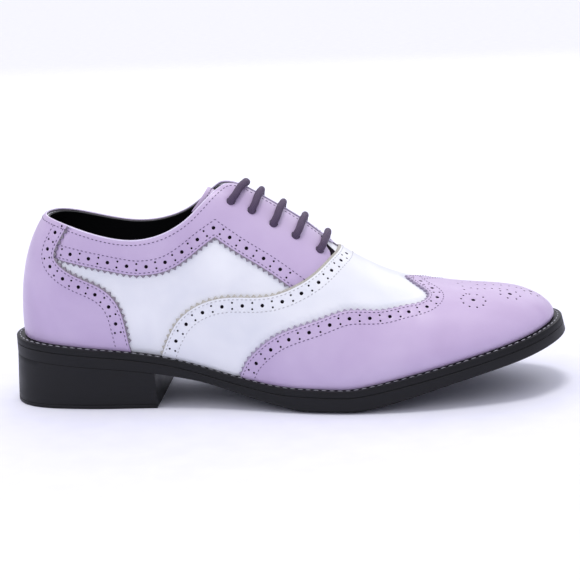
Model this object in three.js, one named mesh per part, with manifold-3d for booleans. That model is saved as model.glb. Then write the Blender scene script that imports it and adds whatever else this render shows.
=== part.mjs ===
// Right shoe of a two-colour wing-tip pair with laces, standing empty on its heel and forefoot.
// Lengths are millimetres. X runs from the heel to the toe, Y from the outer side to the inner side, Z up.
// The upper is a surface of ribs: each rib rises from the feather line, where the upper meets the welt,
// to the crest over the foot. Every layer of leather, the insole and the laces are placed from that surface.
import * as THREE from "three";
import Module from "manifold-3d";

const wasm = await Module();
wasm.setup();

// Driving sizes of the sole unit
const soleLength = 308;
const ballWidth = 103;
const heelHeight = 27.5; // floor to the sole at the back of the heel
const heelLength = 82.7; // back of the heel to its breast
const heelTaper = 0.8; // the sides of the heel draw in by this to the floor
const heelFlare = 1.4; // its back stands out by this at the floor
const topLiftThickness = 2.2;
const toeSpring = 27; // floor to the sole at the toe tip
const outsoleThickness = 8;
const outsoleBevel = 2.6;
const weltThickness = 3.4;
const weltWidth = 5.8; // how far the welt stands out from the feather line at toe and heel

// Driving sizes of the upper
const instepHeight = 120; // floor to the crest at the top of the facings
const collarHeight = 105; // floor to the topline at the back of the heel
const wallThickness = 1.8;
const overlayThickness = 1.2;
const toeCapThickness = 1.8;
const throatGap = 6;
const throatLength = 9; // over this length the gap closes to the throat's point
const crestDrift = 6; // the crest leans this far to the inner side at the toe

// Driving sizes of the small pieces
const insoleThickness = 3;
const weltSeat = 7; // the upper and insole rest on the welt for this width
const tongueThickness = 1.6;
const tongueHalfWidth = 20;
const tongueTop = 0.372; // where its top edge crosses the crest, a share of soleLength
const laceDiameter = 3.8;
const laceSag = 0.5; // how far a bar sinks between the facings
const eyeletClearance = 0.4;

// Pieces that touch stay this far apart
const seam = 0.3;

// Stations round the plan. at, the outline, and top, the rib's upper end, are shares of soleLength along
// the shoe. outer and inner are the outline's shares of ballWidth. welt and swell are shares of weltWidth.
// curve is the exponent of the rib's curve.
const stations = [
  { name: "heel back", at: 0, outer: 0, inner: 0, top: 0.228, welt: 1.08, curve: 2.55, swell: 0.05 },
  { name: "heel turn", at: 0.026, outer: 0.2, inner: 0.2, top: 0.229, welt: 1.04, curve: 2.65, swell: 0.08 },
  { name: "heel", at: 0.098, outer: 0.305, inner: 0.303, top: 0.237, welt: 0.88, curve: 2.9, swell: 0.35 },
  { name: "heel end", at: 0.195, outer: 0.335, inner: 0.328, top: 0.263, welt: 0.75, curve: 3.1, swell: 0.4 },
  { name: "arch", at: 0.29, outer: 0.34, inner: 0.31, top: 0.3, welt: 0.68, curve: 2.8, swell: 0.4 },
  { name: "waist", at: 0.39, outer: 0.38, inner: 0.3, top: 0.392, welt: 0.68, curve: 2.2, swell: 0.4 },
  { name: "instep", at: 0.487, outer: 0.457, inner: 0.325, top: 0.487, welt: 0.75, curve: 1.95, swell: 0.4 },
  { name: "ball", at: 0.585, outer: 0.518, inner: 0.41, top: 0.585, welt: 0.82, curve: 1.95, swell: 0.4 },
  { name: "ball end", at: 0.68, outer: 0.52, inner: 0.475, top: 0.675, welt: 0.85, curve: 2.1, swell: 0.4 },
  { name: "toe root", at: 0.78, outer: 0.475, inner: 0.48, top: 0.762, welt: 0.88, curve: 2.25, swell: 0.35 },
  { name: "toe side", at: 0.864, outer: 0.4, inner: 0.437, top: 0.822, welt: 0.93, curve: 2.3, swell: 0.3 },
  { name: "toe turn", at: 0.937, outer: 0.287, inner: 0.357, top: 0.85, welt: 1, curve: 2.2, swell: 0.2 },
  { name: "toe end", at: 0.984, outer: 0.117, inner: 0.24, top: 0.856, welt: 1.05, curve: 2.05, swell: 0.15 },
  { name: "toe tip", at: 1, outer: -0.065, inner: 0.065, top: 0.857, welt: 1.1, curve: 2, swell: 0.15 },
];

// Underside of the outsole along the shoe: heel is a share of heelHeight, spring of toeSpring,
// thick of outsoleThickness. Where the sum is below the floor, the tread is flat on it.
const soleProfile = [
  { at: 0, heel: 1, spring: 0, thick: 0.8 },
  { at: 0.14, heel: 0.876, spring: 0, thick: 0.78 },
  { at: 0.273, heel: 0.71, spring: 0, thick: 0.74 },
  { at: 0.338, heel: 0.55, spring: 0, thick: 0.72 },
  { at: 0.39, heel: 0.385, spring: 0, thick: 0.74 },
  { at: 0.445, heel: 0.205, spring: 0, thick: 0.86 },
  { at: 0.5, heel: 0.06, spring: 0, thick: 1.02 },
  { at: 0.56, heel: -0.04, spring: 0, thick: 1.28 },
  { at: 0.62, heel: -0.01, spring: 0, thick: 1.17 },
  { at: 0.675, heel: 0, spring: 0.11, thick: 1.08 },
  { at: 0.77, heel: 0, spring: 0.4, thick: 0.88 },
  { at: 0.89, heel: 0, spring: 0.74, thick: 0.76 },
  { at: 1, heel: 0, spring: 1.04, thick: 0.74 },
];

// Crest over the foot: at is a share of soleLength, height of instepHeight.
// Behind the facings the crest is the shape that the last has inside the collar.
const crestProfile = [
  { at: 0.15, height: 1.045 },
  { at: 0.28, height: 1.015 },
  { at: 0.36, height: 1 },
  { at: 0.416, height: 0.978 },
  { at: 0.474, height: 0.896 },
  { at: 0.536, height: 0.79 },
  { at: 0.571, height: 0.715 },
  { at: 0.607, height: 0.645 },
  { at: 0.65, height: 0.576 },
  { at: 0.705, height: 0.51 },
  { at: 0.76, height: 0.474 },
  { at: 0.82, height: 0.449 },
  { at: 0.87, height: 0.44 },
];

// Topline from the back of the heel to the top corner of the facings: at is a share of soleLength,
// back of collarHeight and front of instepHeight. The height is their sum.
const toplineProfile = [
  { at: 0.05, back: 1.002, front: 0 },
  { at: 0.08, back: 0.995, front: 0 },
  { at: 0.125, back: 0.961, front: 0 },
  { at: 0.18, back: 0.912, front: 0 },
  { at: 0.236, back: 0.7, front: 0.16 },
  { at: 0.295, back: 0.42, front: 0.428 },
  { at: 0.345, back: 0.18, front: 0.704 },
  { at: 0.378, back: 0.05, front: 0.879 },
  { at: 0.4, back: 0, front: 0.959 },
  { at: 0.43, back: 0, front: 0.98 },
];

// Rows of the lacing. The crest over the eyelets and where the bar crosses it are shares of soleLength,
// and reach, from the crest to the eyelet across the shoe, is a share of ballWidth.
const laceRows = [
  { eyelet: 0.413, crossing: 0.433, reach: 0.15 },
  { eyelet: 0.448, crossing: 0.458, reach: 0.155 },
  { eyelet: 0.485, crossing: 0.496, reach: 0.168 },
  { eyelet: 0.523, crossing: 0.533, reach: 0.176 },
  { eyelet: 0.564, crossing: 0.572, reach: 0.176 },
];

// Seams between the panels, seen from the side: x is a share of soleLength, z of instepHeight.
const counterSeam = [
  { x: 0.143, z: 0.92 },
  { x: 0.126, z: 0.842 },
  { x: 0.097, z: 0.707 },
  { x: 0.143, z: 0.61 },
  { x: 0.184, z: 0.558 },
  { x: 0.207, z: 0.495 },
  { x: 0.217, z: 0.428 },
  { x: 0.222, z: 0.353 },
  { x: 0.226, z: 0.262 },
  { x: 0.229, z: 0.1 },
];
const eyestaySeam = [
  { x: 0.06, z: 0.71 },
  { x: 0.1, z: 0.696 },
  { x: 0.152, z: 0.667 },
  { x: 0.209, z: 0.633 },
  { x: 0.243, z: 0.616 },
  { x: 0.28, z: 0.617 },
  { x: 0.322, z: 0.642 },
  { x: 0.351, z: 0.689 },
  { x: 0.386, z: 0.774 },
  { x: 0.426, z: 0.704 },
  { x: 0.469, z: 0.637 },
  { x: 0.518, z: 0.55 },
  { x: 0.55, z: 0.49 },
];
const vampSeam = [
  { x: 0.6, z: 0.8 },
  { x: 0.599, z: 0.671 },
  { x: 0.584, z: 0.635 },
  { x: 0.556, z: 0.587 },
  { x: 0.521, z: 0.543 },
  { x: 0.486, z: 0.517 },
  { x: 0.416, z: 0.512 },
  { x: 0.374, z: 0.497 },
  { x: 0.341, z: 0.46 },
  { x: 0.319, z: 0.416 },
  { x: 0.296, z: 0.324 },
  { x: 0.283, z: 0.245 },
  { x: 0.27, z: 0.1 },
];
const wingSeam = [
  { x: 0.705, z: 0.8 },
  { x: 0.713, z: 0.53 },
  { x: 0.761, z: 0.472 },
  { x: 0.718, z: 0.447 },
  { x: 0.671, z: 0.446 },
  { x: 0.612, z: 0.439 },
  { x: 0.569, z: 0.411 },
  { x: 0.526, z: 0.379 },
  { x: 0.485, z: 0.335 },
  { x: 0.457, z: 0.281 },
  { x: 0.438, z: 0.225 },
  { x: 0.421, z: 0.151 },
  { x: 0.415, z: 0.02 },
];

// Natural cubic spline through the points (xs, ys)
function spline(xs, ys) {
  const last = xs.length - 1;
  const bend = new Array(last + 1).fill(0);
  const carry = new Array(last + 1).fill(0);
  for (let i = 1; i < last; i++) {
    const share = (xs[i] - xs[i - 1]) / (xs[i + 1] - xs[i - 1]);
    const pivot = share * bend[i - 1] + 2;
    const turn = (ys[i + 1] - ys[i]) / (xs[i + 1] - xs[i]) - (ys[i] - ys[i - 1]) / (xs[i] - xs[i - 1]);
    bend[i] = (share - 1) / pivot;
    carry[i] = ((6 * turn) / (xs[i + 1] - xs[i - 1]) - share * carry[i - 1]) / pivot;
  }
  bend[last] = 0;
  for (let i = last - 1; i >= 0; i--) bend[i] = bend[i] * bend[i + 1] + carry[i];
  return (x) => {
    let i = 0;
    while (i < last - 1 && x > xs[i + 1]) i++;
    const step = xs[i + 1] - xs[i];
    const a = (xs[i + 1] - x) / step;
    const b = 1 - a;
    const cubic = ((a ** 3 - a) * bend[i] + (b ** 3 - b) * bend[i + 1]) * (step ** 2 / 6);
    return a * ys[i] + b * ys[i + 1] + cubic;
  };
}

const clamp = (x, low, high) => Math.min(Math.max(x, low), high);

function smoothstep(x, from, to) {
  const share = clamp((x - from) / (to - from), 0, 1);
  return share * share * (3 - 2 * share);
}

// The value where a rising function reaches a goal, between low and high
function solve(rising, goal, low, high) {
  for (let i = 0; i < 50; i++) {
    const middle = (low + high) / 2;
    if (rising(middle) < goal) low = middle;
    else high = middle;
  }
  return (low + high) / 2;
}

// Place round the plan: 0 is the heel's back, 1 the toe tip, 2 the heel's back again.
// Below 1 it is on the outer side, above 1 on the inner side.
const chords = stations.slice(1).map((s, i) =>
  Math.hypot(
    (s.at - stations[i].at) * soleLength,
    ((s.outer + s.inner - stations[i].outer - stations[i].inner) / 2) * ballWidth,
  ),
);
const chordSum = chords.reduce((sum, chord) => sum + chord, 0);
const places = chords.reduce((list, chord) => [...list, list[list.length - 1] + chord / chordSum], [0]);

// Closed curve through a value of each station, given for both sides
function around(outerValue, innerValue = outerValue) {
  const wrap = 4;
  const xs = [];
  const ys = [];
  const add = (place, value) => {
    xs.push(place);
    ys.push(value);
  };
  const tip = stations.length - 1;
  for (let i = wrap; i > 0; i--) add(-places[i], innerValue(stations[i]));
  for (let i = 0; i <= tip; i++) add(places[i], outerValue(stations[i]));
  for (let i = tip - 1; i >= 0; i--) add(2 - places[i], innerValue(stations[i]));
  for (let i = 1; i <= wrap; i++) add(2 + places[i], outerValue(stations[i]));
  return spline(xs, ys);
}

const soleX = around((s) => s.at * soleLength);
const soleY = around((s) => -s.outer * ballWidth, (s) => s.inner * ballWidth);
const crestX = around((s) => s.top * soleLength);
const weltOverhang = around((s) => s.welt * weltWidth);
const fullness = around((s) => s.curve);
const swell = around((s) => s.swell * weltWidth);

const column = (table, value) => spline(table.map((row) => row.at * soleLength), table.map(value));
const soleUnderside = column(soleProfile, (row) => row.heel * heelHeight + row.spring * toeSpring);
const outsoleDepth = column(soleProfile, (row) => row.thick * outsoleThickness);
const crestZ = column(crestProfile, (row) => row.height * instepHeight);
const topline = column(toplineProfile, (row) => row.back * collarHeight + row.front * instepHeight);

const treadZ = (x) => Math.max(soleUnderside(x), 0);
const outsoleTopZ = (x) => soleUnderside(x) + outsoleDepth(x);
const weltTopZ = (x) => outsoleTopZ(x) + seam + weltThickness;
const weltSlope = (x) => (weltTopZ(x + 1) - weltTopZ(x - 1)) / 2;
const crestY = (x) => crestDrift * smoothstep(x, 0.48 * soleLength, 0.86 * soleLength);

// Where the toe springs, the sole's edge is square to the sole and not to the floor
const leaned = (x, z) => x - (z - soleUnderside(x)) * Math.max(weltSlope(x), 0);

// Point of the sole's outline, moved inwards in plan by inset
function planPoint(place, inset) {
  const step = 1e-3;
  const dx = soleX(place + step) - soleX(place - step);
  const dy = soleY(place + step) - soleY(place - step);
  const size = Math.hypot(dx, dy);
  return [soleX(place) - (dy / size) * inset, soleY(place) + (dx / size) * inset];
}

// The last's surface: a rib at each place, and rise is the angle up it, from 0 at the feather line
// to a quarter turn at the crest.
const quarterTurn = Math.PI / 2;
const swellHeight = 0.2;

function rib(place, rise) {
  const [planX, footY] = planPoint(place, weltOverhang(place));
  const footZ = weltTopZ(planX) + seam;
  const footX = leaned(planX, footZ);
  const topX = crestX(place);
  const topY = crestY(topX);
  const power = fullness(place);
  const cos = Math.max(Math.cos(rise), 0);
  const sin = Math.sin(rise);
  const radius = (cos ** power + sin ** power) ** (-1 / power);
  const up = radius * sin;
  const bulge = swell(place) * (up / swellHeight) * Math.exp(1 - up / swellHeight);
  const out = radius * cos * (1 + bulge / Math.hypot(footX - topX, footY));
  return new THREE.Vector3(
    topX + (footX - topX) * out,
    topY + (footY - topY) * out,
    footZ + (crestZ(topX) - footZ) * up,
  );
}

// Outward normal. At the foot it lies in the welt's surface, so all layers end at one height above it.
function normal(place, rise) {
  const step = 1e-3;
  if (rise > quarterTurn - step) {
    const topX = crestX(place);
    return new THREE.Vector3(crestZ(topX - 1) - crestZ(topX + 1), 0, 2).normalize();
  }
  const low = Math.max(rise - step, 0);
  const along = rib(place + step, rise).sub(rib(place - step, rise));
  const up = rib(place, rise + step).sub(rib(place, low));
  const out = along.cross(up).normalize();
  const level = out.x * weltSlope(soleX(place));
  out.z = rise === 0 ? level : Math.max(out.z, level);
  return out.normalize();
}

const layer = (place, rise, offset) => rib(place, rise).addScaledVector(normal(place, rise), offset);

// Where the upper ends on a rib: at the topline, at the edge of the facing, or at the crest
const throatX = soleLength * 0.585;

function riseAt(place, reach) {
  const middle = crestY(crestX(place));
  return solve((rise) => -Math.abs(rib(place, rise).y - middle), -reach, 0, quarterTurn);
}

function facingRise(place) {
  const share = clamp((throatX - crestX(place)) / throatLength, 0, 1);
  return riseAt(place, (throatGap / 2) * Math.sqrt(share));
}

function overTopline(place, rise) {
  const point = rib(place, rise);
  return point.z - topline(point.x);
}

// Fixed places on each side: where the topline starts to climb, and the point of the throat
const climbPlace = solve(crestX, soleLength * 0.33, places[2], 1);
const throatPlace = solve(crestX, throatX, climbPlace, 1);
const turned = (side, place) => (side ? 2 - place : place);

function ribTop(place) {
  const folded = Math.min(place, 2 - place);
  if (folded >= throatPlace) return quarterTurn;
  const facing = folded > climbPlace ? facingRise(place) : quarterTurn;
  if (overTopline(place, facing) <= 0) return facing;
  return solve((rise) => overTopline(place, rise), 0, 0, facing);
}

// Mesh to solid and back
function solid(points, triangles) {
  const positions = new Float32Array(points.length * 3);
  points.forEach((p, i) => positions.set([p.x, p.y, p.z], i * 3));
  return new wasm.Manifold(
    new wasm.Mesh({ numProp: 3, vertProperties: positions, triVerts: new Uint32Array(triangles.flat()) }),
  );
}

function solidOf(geometry) {
  const flat = geometry.index ? geometry.toNonIndexed() : geometry;
  const position = flat.getAttribute("position");
  const found = new Map();
  const points = [];
  const corners = [];
  for (let i = 0; i < position.count; i++) {
    const point = new THREE.Vector3().fromBufferAttribute(position, i);
    const key = point.toArray().map((value) => Math.round(value * 1e4)).join();
    if (!found.has(key)) {
      found.set(key, points.length);
      points.push(point);
    }
    corners.push(found.get(key));
  }
  const triangles = [];
  for (let i = 0; i < corners.length; i += 3) {
    const [a, b, c] = corners.slice(i, i + 3);
    if (a !== b && b !== c && a !== c) triangles.push([a, b, c]);
  }
  return solid(points, triangles);
}

function geometryOf(manifold) {
  const mesh = manifold.getMesh();
  const positions = new Float32Array(mesh.numVert * 3);
  for (let i = 0; i < mesh.numVert; i++) {
    positions.set(mesh.vertProperties.subarray(i * mesh.numProp, i * mesh.numProp + 3), i * 3);
  }
  return new THREE.BufferGeometry()
    .setAttribute("position", new THREE.BufferAttribute(positions, 3))
    .setIndex(new THREE.BufferAttribute(mesh.triVerts, 1));
}

// Places of a mesh's ribs on each side, evenly spaced between the fixed ones
const spans = [
  { steps: 11, to: () => climbPlace },
  { steps: 5, to: (side) => facingCorner(side) },
  { steps: 6, to: () => throatPlace },
  { steps: 13, to: () => 1 },
];

function facingCorner(side) {
  const below = (place) => -overTopline(turned(side, place), facingRise(turned(side, place)));
  return solve(below, 0, climbPlace, throatPlace);
}

const meshPlaces = [0, 1].map((side) =>
  spans.reduce(
    (list, { steps, to }) => {
      const from = list[list.length - 1];
      const added = Array.from({ length: steps }, (_, i) => from + ((to(side) - from) * (i + 1)) / steps);
      return [...list, ...added];
    },
    [0],
  ),
);
const backSteps = spans[0].steps + spans[1].steps + spans[2].steps;
const tipStation = meshPlaces[0].length - 1;

// Closed shell of leather between two offsets from the last's surface
function shell(innerOffset, outerOffset, levels) {
  const points = [];
  const index = new Map();
  const vertex = (side, station, level, face) => {
    const shared = station === 0 || station === tipStation || (level === levels && station >= backSteps);
    const key = [shared ? 0 : side, station, level, face].join();
    if (!index.has(key)) {
      const place = turned(shared ? 0 : side, meshPlaces[shared ? 0 : side][station]);
      const rise = (ribTop(place) * level) / levels;
      index.set(key, points.length);
      points.push(layer(place, rise, face ? outerOffset : innerOffset));
    }
    return index.get(key);
  };
  const triangles = [];
  const quad = (a, b, c, d, flip, turn) => {
    const [p, q, r, s] = turn ? [b, c, d, a] : [a, b, c, d];
    triangles.push(...(flip ? [[r, q, p], [s, r, p]] : [[p, q, r], [p, r, s]]));
  };
  const reach = (side, [i, j], [k, l]) => {
    const at = (station, level) => {
      const place = turned(side, meshPlaces[side][station]);
      return rib(place, (ribTop(place) * level) / levels);
    };
    return at(i, j).distanceTo(at(k, l));
  };
  for (const side of [0, 1]) {
    for (let i = 0; i < tipStation; i++) {
      for (let j = 0; j < levels; j++) {
        const turn = reach(side, [i + 1, j], [i, j + 1]) < reach(side, [i, j], [i + 1, j + 1]);
        for (const face of [0, 1]) {
          const corner = (di, dj) => vertex(side, i + di, j + dj, face);
          quad(corner(0, 0), corner(1, 0), corner(1, 1), corner(0, 1), (side === 1) === (face === 1), turn);
        }
      }
      const edge = (station, level, face) => vertex(side, station, level, face);
      quad(edge(i, 0, 0), edge(i + 1, 0, 0), edge(i + 1, 0, 1), edge(i, 0, 1), side === 1);
      if (i >= backSteps) continue;
      const rim = (n, offset) => edge(n, levels, offset);
      quad(rim(i, 1), rim(i + 1, 1), rim(i + 1, 0), rim(i, 0), side === 1);
    }
  }
  return solid(points, triangles);
}

// Solid between loops round the plan, each with its inset and height. The first and last loops are
// capped, or joined to each other for a ring.
function stack(loops, ring = false) {
  const steps = 27;
  const count = 2 * steps;
  const points = loops.flatMap(({ inset, z }) =>
    Array.from({ length: count }, (_, i) => {
      const share = i <= steps ? i / steps : (count - i) / steps;
      const eased = (1 - Math.cos(Math.PI * share)) / 2;
      const spread = 0.45 * eased + 0.55 * share;
      const place = i <= steps ? spread : 2 - spread;
      const [x, y] = planPoint(place, inset(soleX(place)));
      return new THREE.Vector3(leaned(x, z(x)), y, z(x));
    }),
  );
  const triangles = [];
  loops.slice(ring ? 0 : 1).forEach((_, level) => {
    for (let i = 0; i < count; i++) {
      const next = (i + 1) % count;
      const low = level * count;
      const high = ((level + 1) % loops.length) * count;
      triangles.push([low + i, low + next, high + next], [low + i, high + next, high + i]);
    }
  });
  const cap = (base, top) => {
    for (let i = 0; i < steps; i++) {
      const a = base + i;
      const b = base + i + 1;
      const c = base + ((count - i - 1) % count);
      const d = base + ((count - i) % count);
      const made = i === 0 ? [[a, b, c]] : i === steps - 1 ? [[a, b, d]] : [[a, b, c], [a, c, d]];
      made.forEach(([p, q, r]) => triangles.push(top ? [p, q, r] : [r, q, p]));
    }
  };
  if (!ring) cap(0, false);
  if (!ring) cap((loops.length - 1) * count, true);
  return solid(points, triangles);
}

const farAway = 400;

function block(low, high) {
  const size = high.map((value, i) => value - low[i]);
  return solidOf(new THREE.BoxGeometry(...size).translate(...low.map((value, i) => value + size[i] / 2)));
}

// Part of space between two heights across the shoe whose side view is the outline
function sideCut(outline, fromY, toY) {
  const shape = new THREE.Shape(outline.map(([x, z]) => new THREE.Vector2(x, z)));
  const prism = new THREE.ExtrudeGeometry(shape, { depth: toY - fromY, bevelEnabled: false });
  return solidOf(prism.rotateX(quarterTurn).translate(0, toY, 0));
}

// A seam's line in millimetres, smoothed and moved sideways
function seamLine(rows, shift) {
  const curve = new THREE.CatmullRomCurve3(
    rows.map(({ x, z }) => new THREE.Vector3(x * soleLength, 0, z * instepHeight)),
    false,
    "centripetal",
  );
  const pointsPerRow = 2;
  const points = curve.getPoints((rows.length - 1) * pointsPerRow);
  return points.map((point, i) => {
    const before = points[Math.max(i - 1, 0)];
    const after = points[Math.min(i + 1, points.length - 1)];
    const direction = after.clone().sub(before).normalize();
    return [point.x + direction.z * shift, point.z - direction.x * shift];
  });
}

const half = seam / 2;
const aheadOf = (rows) => [...seamLine(rows, -half), [farAway, -farAway], [farAway, farAway]];
const behind = (rows) => [...seamLine(rows, half), [-farAway, -farAway], [-farAway, farAway]];
const pastSeam = (rows, way) => [
  ...seamLine(rows, way * half),
  [way * farAway, -farAway],
  [way * farAway, farAway],
];
const above = (rows) => {
  const line = seamLine(rows, -half);
  const level = [line[0][1], line[line.length - 1][1]];
  return [...line, [farAway, level[1]], [farAway, farAway], [-farAway, farAway], [-farAway, level[0]]];
};

// Sole unit
const heelInset = (x) => heelTaper - (heelTaper + heelFlare) * (1 - smoothstep(x, 0, heelLength / 2));
const aheadOfBreast = block([heelLength, -farAway, -farAway], [farAway, farAway, farAway]);

const topLift = () =>
  stack([
    { inset: heelInset, z: () => 0 },
    { inset: heelInset, z: () => topLiftThickness },
  ]).subtract(aheadOfBreast);

const heelBlock = () => {
  const bottom = topLiftThickness + seam;
  const plug = stack([
    { inset: heelInset, z: () => bottom },
    { inset: () => seam, z: (x) => Math.max(treadZ(x) - seam, bottom + 1) },
  ]);
  return plug.subtract(aheadOfBreast);
};

const outsole = () => {
  const starts = (x) => smoothstep(x, heelLength, heelLength * 1.4);
  const fades = (x) => 1 - 0.6 * smoothstep(x, soleLength * 0.75, soleLength * 0.95);
  const bevel = (x) => outsoleBevel * starts(x) * fades(x);
  return stack([
    { inset: (x) => bevel(x) * 1.6, z: treadZ },
    { inset: (x) => bevel(x) * 0.45, z: (x) => treadZ(x) + 0.1 + bevel(x) * 0.45 },
    { inset: () => 0, z: (x) => treadZ(x) + 0.2 + bevel(x) },
    { inset: () => 0, z: outsoleTopZ },
  ]);
};

const welt = () => {
  const edgeLip = 0.6;
  const inner = () => weltWidth + weltSeat;
  const bottom = (x) => outsoleTopZ(x) + seam;
  return stack(
    [
      { inset: inner, z: bottom },
      { inset: () => edgeLip, z: bottom },
      { inset: () => 0, z: (x) => bottom(x) + edgeLip },
      { inset: () => 0, z: (x) => weltTopZ(x) - edgeLip },
      { inset: () => edgeLip, z: weltTopZ },
      { inset: inner, z: weltTopZ },
    ],
    true,
  );
};

const insole = () => {
  const overhang = column(
    stations.map((s) => ({ at: s.at, value: s.welt * weltWidth + wallThickness + 2 * seam })),
    (row) => row.value,
  );
  return stack([
    { inset: overhang, z: (x) => weltTopZ(x) + seam },
    { inset: overhang, z: (x) => weltTopZ(x) + seam + insoleThickness },
  ]);
};

// Eyelets: each row has one on each side, on the ribs behind the point where its bar meets the crest
const eyelets = laceRows.map(({ eyelet, crossing, reach }) => {
  const place = solve(crestX, eyelet * soleLength, places[2], 1);
  const crestPlace = solve(crestX, crossing * soleLength, places[2], 1);
  const rises = [0, 1].map((side) => riseAt(turned(side, place), reach * ballWidth));
  return { place, crestPlace, rises };
});

const eyeletHoles = (side) =>
  eyelets.map((eyelet) => {
    const place = turned(side, eyelet.place);
    const rise = eyelet.rises[side];
    const drill = new THREE.CylinderGeometry(
      laceDiameter / 2 + eyeletClearance,
      laceDiameter / 2 + eyeletClearance,
      12,
      10,
    );
    const turn = new THREE.Quaternion().setFromUnitVectors(new THREE.Vector3(0, 1, 0), normal(place, rise));
    drill.applyQuaternion(turn).translate(...rib(place, rise).toArray());
    return solidOf(drill);
  });

const drilled = (manifold, side) => eyeletHoles(side).reduce((left, hole) => left.subtract(hole), manifold);

// Upper and its overlays
const levels = 8;
const upper = () => drilled(drilled(shell(-wallThickness, 0, levels), 0), 1);
const overlay = shell(seam, seam + overlayThickness, levels);
const capLayer = shell(seam, seam + toeCapThickness, levels);
const counter = () => overlay.intersect(sideCut(behind(counterSeam), -farAway, farAway));
const toeCap = () => capLayer.intersect(sideCut(aheadOf(wingSeam), -farAway, farAway));
const vamp = () =>
  overlay
    .intersect(sideCut(aheadOf(vampSeam), -farAway, farAway))
    .subtract(sideCut(pastSeam(wingSeam, 1), -farAway, farAway));

const eyestay = (side) => {
  const sideOfCrest = side ? [1, farAway] : [-farAway, -1];
  const panel = overlay
    .intersect(sideCut(above(eyestaySeam), ...sideOfCrest))
    .subtract(sideCut(pastSeam(counterSeam, -1), ...sideOfCrest))
    .subtract(sideCut(pastSeam(vampSeam, 1), ...sideOfCrest));
  return drilled(panel, side);
};

// Tongue: a strip under the facings. Its top edge is square to the crest, a little above the collar.
const tongue = () => {
  const fromX = soleLength * 0.3;
  const toX = throatX + 6;
  const rows = 10;
  const columns = 6;
  const top = -wallThickness - seam;
  const points = [];
  for (const offset of [top - tongueThickness, top]) {
    for (let i = 0; i <= rows; i++) {
      const outerPlace = solve(crestX, fromX + ((toX - fromX) * i) / rows, places[2], 1);
      for (let j = 0; j <= columns; j++) {
        const across = (2 * j) / columns - 1;
        const place = across > 0 ? 2 - outerPlace : outerPlace;
        points.push(layer(place, riseAt(place, Math.abs(across) * tongueHalfWidth), offset));
      }
    }
  }
  const at = (face, i, j) => (face * (rows + 1) + i) * (columns + 1) + j;
  const triangles = [];
  const quad = (a, b, c, d) => triangles.push([a, b, c], [a, c, d]);
  for (let i = 0; i < rows; i++) {
    for (let j = 0; j < columns; j++) {
      quad(at(1, i, j), at(1, i + 1, j), at(1, i + 1, j + 1), at(1, i, j + 1));
      quad(at(0, i, j + 1), at(0, i + 1, j + 1), at(0, i + 1, j), at(0, i, j));
    }
    quad(at(0, i, 0), at(0, i + 1, 0), at(1, i + 1, 0), at(1, i, 0));
    quad(at(1, i, columns), at(1, i + 1, columns), at(0, i + 1, columns), at(0, i, columns));
  }
  for (let j = 0; j < columns; j++) {
    quad(at(1, 0, j), at(1, 0, j + 1), at(0, 0, j + 1), at(0, 0, j));
    quad(at(0, rows, j), at(0, rows, j + 1), at(1, rows, j + 1), at(1, rows, j));
  }
  const topX = soleLength * tongueTop;
  const slope = Math.atan2(crestZ(topX - 5) - crestZ(topX + 5), 10);
  const beyond = new THREE.BoxGeometry(farAway, farAway, farAway)
    .translate(-farAway / 2, 0, 0)
    .rotateY(slope)
    .translate(topX, 0, crestZ(topX));
  const underFacings = shell(-wallThickness - seam, 0, levels);
  return solid(points, triangles).subtract(solidOf(beyond)).subtract(underFacings);
};

// A lace bar rises out of one eyelet, crosses the crest and goes down into the other
function laceBar({ place, crestPlace, rises }) {
  const radius = laceDiameter / 2;
  const clear = seam + overlayThickness + seam + radius;
  const sink = seam + overlayThickness - 1;
  const sidePath = (side) => [
    layer(turned(side, place), rises[side], sink),
    ...[0.02, 0.15, 0.4, 0.7].map((share) => {
      const rise = rises[side] + (quarterTurn - rises[side]) * share;
      return layer(turned(side, place + (crestPlace - place) * share), rise, clear);
    }),
  ];
  const path = new THREE.CatmullRomCurve3(
    [...sidePath(0), layer(crestPlace, quarterTurn, clear - laceSag), ...sidePath(1).reverse()],
    false,
    "centripetal",
  );
  const round = new THREE.Shape().absarc(0, 0, radius, 0, 2 * Math.PI);
  return new THREE.ExtrudeGeometry(round, {
    steps: 13,
    curveSegments: 3,
    extrudePath: path,
    bevelEnabled: false,
  });
}

// Finishes: two colours of smooth leather, black sole and edge, waxed laces
const finish = (color, roughness) => new THREE.MeshStandardMaterial({ color, roughness, metalness: 0 });
const lavender = finish("#cbb6e2", 0.42);
const white = finish("#eef0f5", 0.42);
const black = finish("#17171b", 0.5);
const lining = finish("#101012", 0.7);
const laceColour = finish("#7d6786", 0.7);

const shoe = new THREE.Group();

function add(name, geometry, material) {
  const mesh = new THREE.Mesh(geometry, material);
  mesh.name = name;
  shoe.add(mesh);
}

add("top_lift", geometryOf(topLift()), black);
add("heel_block", geometryOf(heelBlock()), black);
add("outsole", geometryOf(outsole()), black);
add("welt", geometryOf(welt()), black);
add("insole", geometryOf(insole()), lining);
add("upper", geometryOf(upper()), white);
add("vamp", geometryOf(vamp()), white);
add("toe_cap", geometryOf(toeCap()), lavender);
add("counter", geometryOf(counter()), lavender);
add("eyestay_outer", geometryOf(eyestay(0)), lavender);
add("eyestay_inner", geometryOf(eyestay(1)), lavender);
add("tongue", geometryOf(tongue()), lavender);
eyelets.forEach((eyelet, row) => add(`lace_bar_${row + 1}`, laceBar(eyelet), laceColour));

// The origin is on the floor, at the middle of the box round the whole shoe
const box = new THREE.Box3().setFromObject(shoe);
shoe.position.set(-(box.min.x + box.max.x) / 2, -(box.min.y + box.max.y) / 2, -box.min.z);

export default shoe;
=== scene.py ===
import math

import bpy
import numpy as np
from mathutils import Matrix, Vector
from mathutils.geometry import delaunay_2d_cdt
from mathutils.kdtree import KDTree


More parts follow.
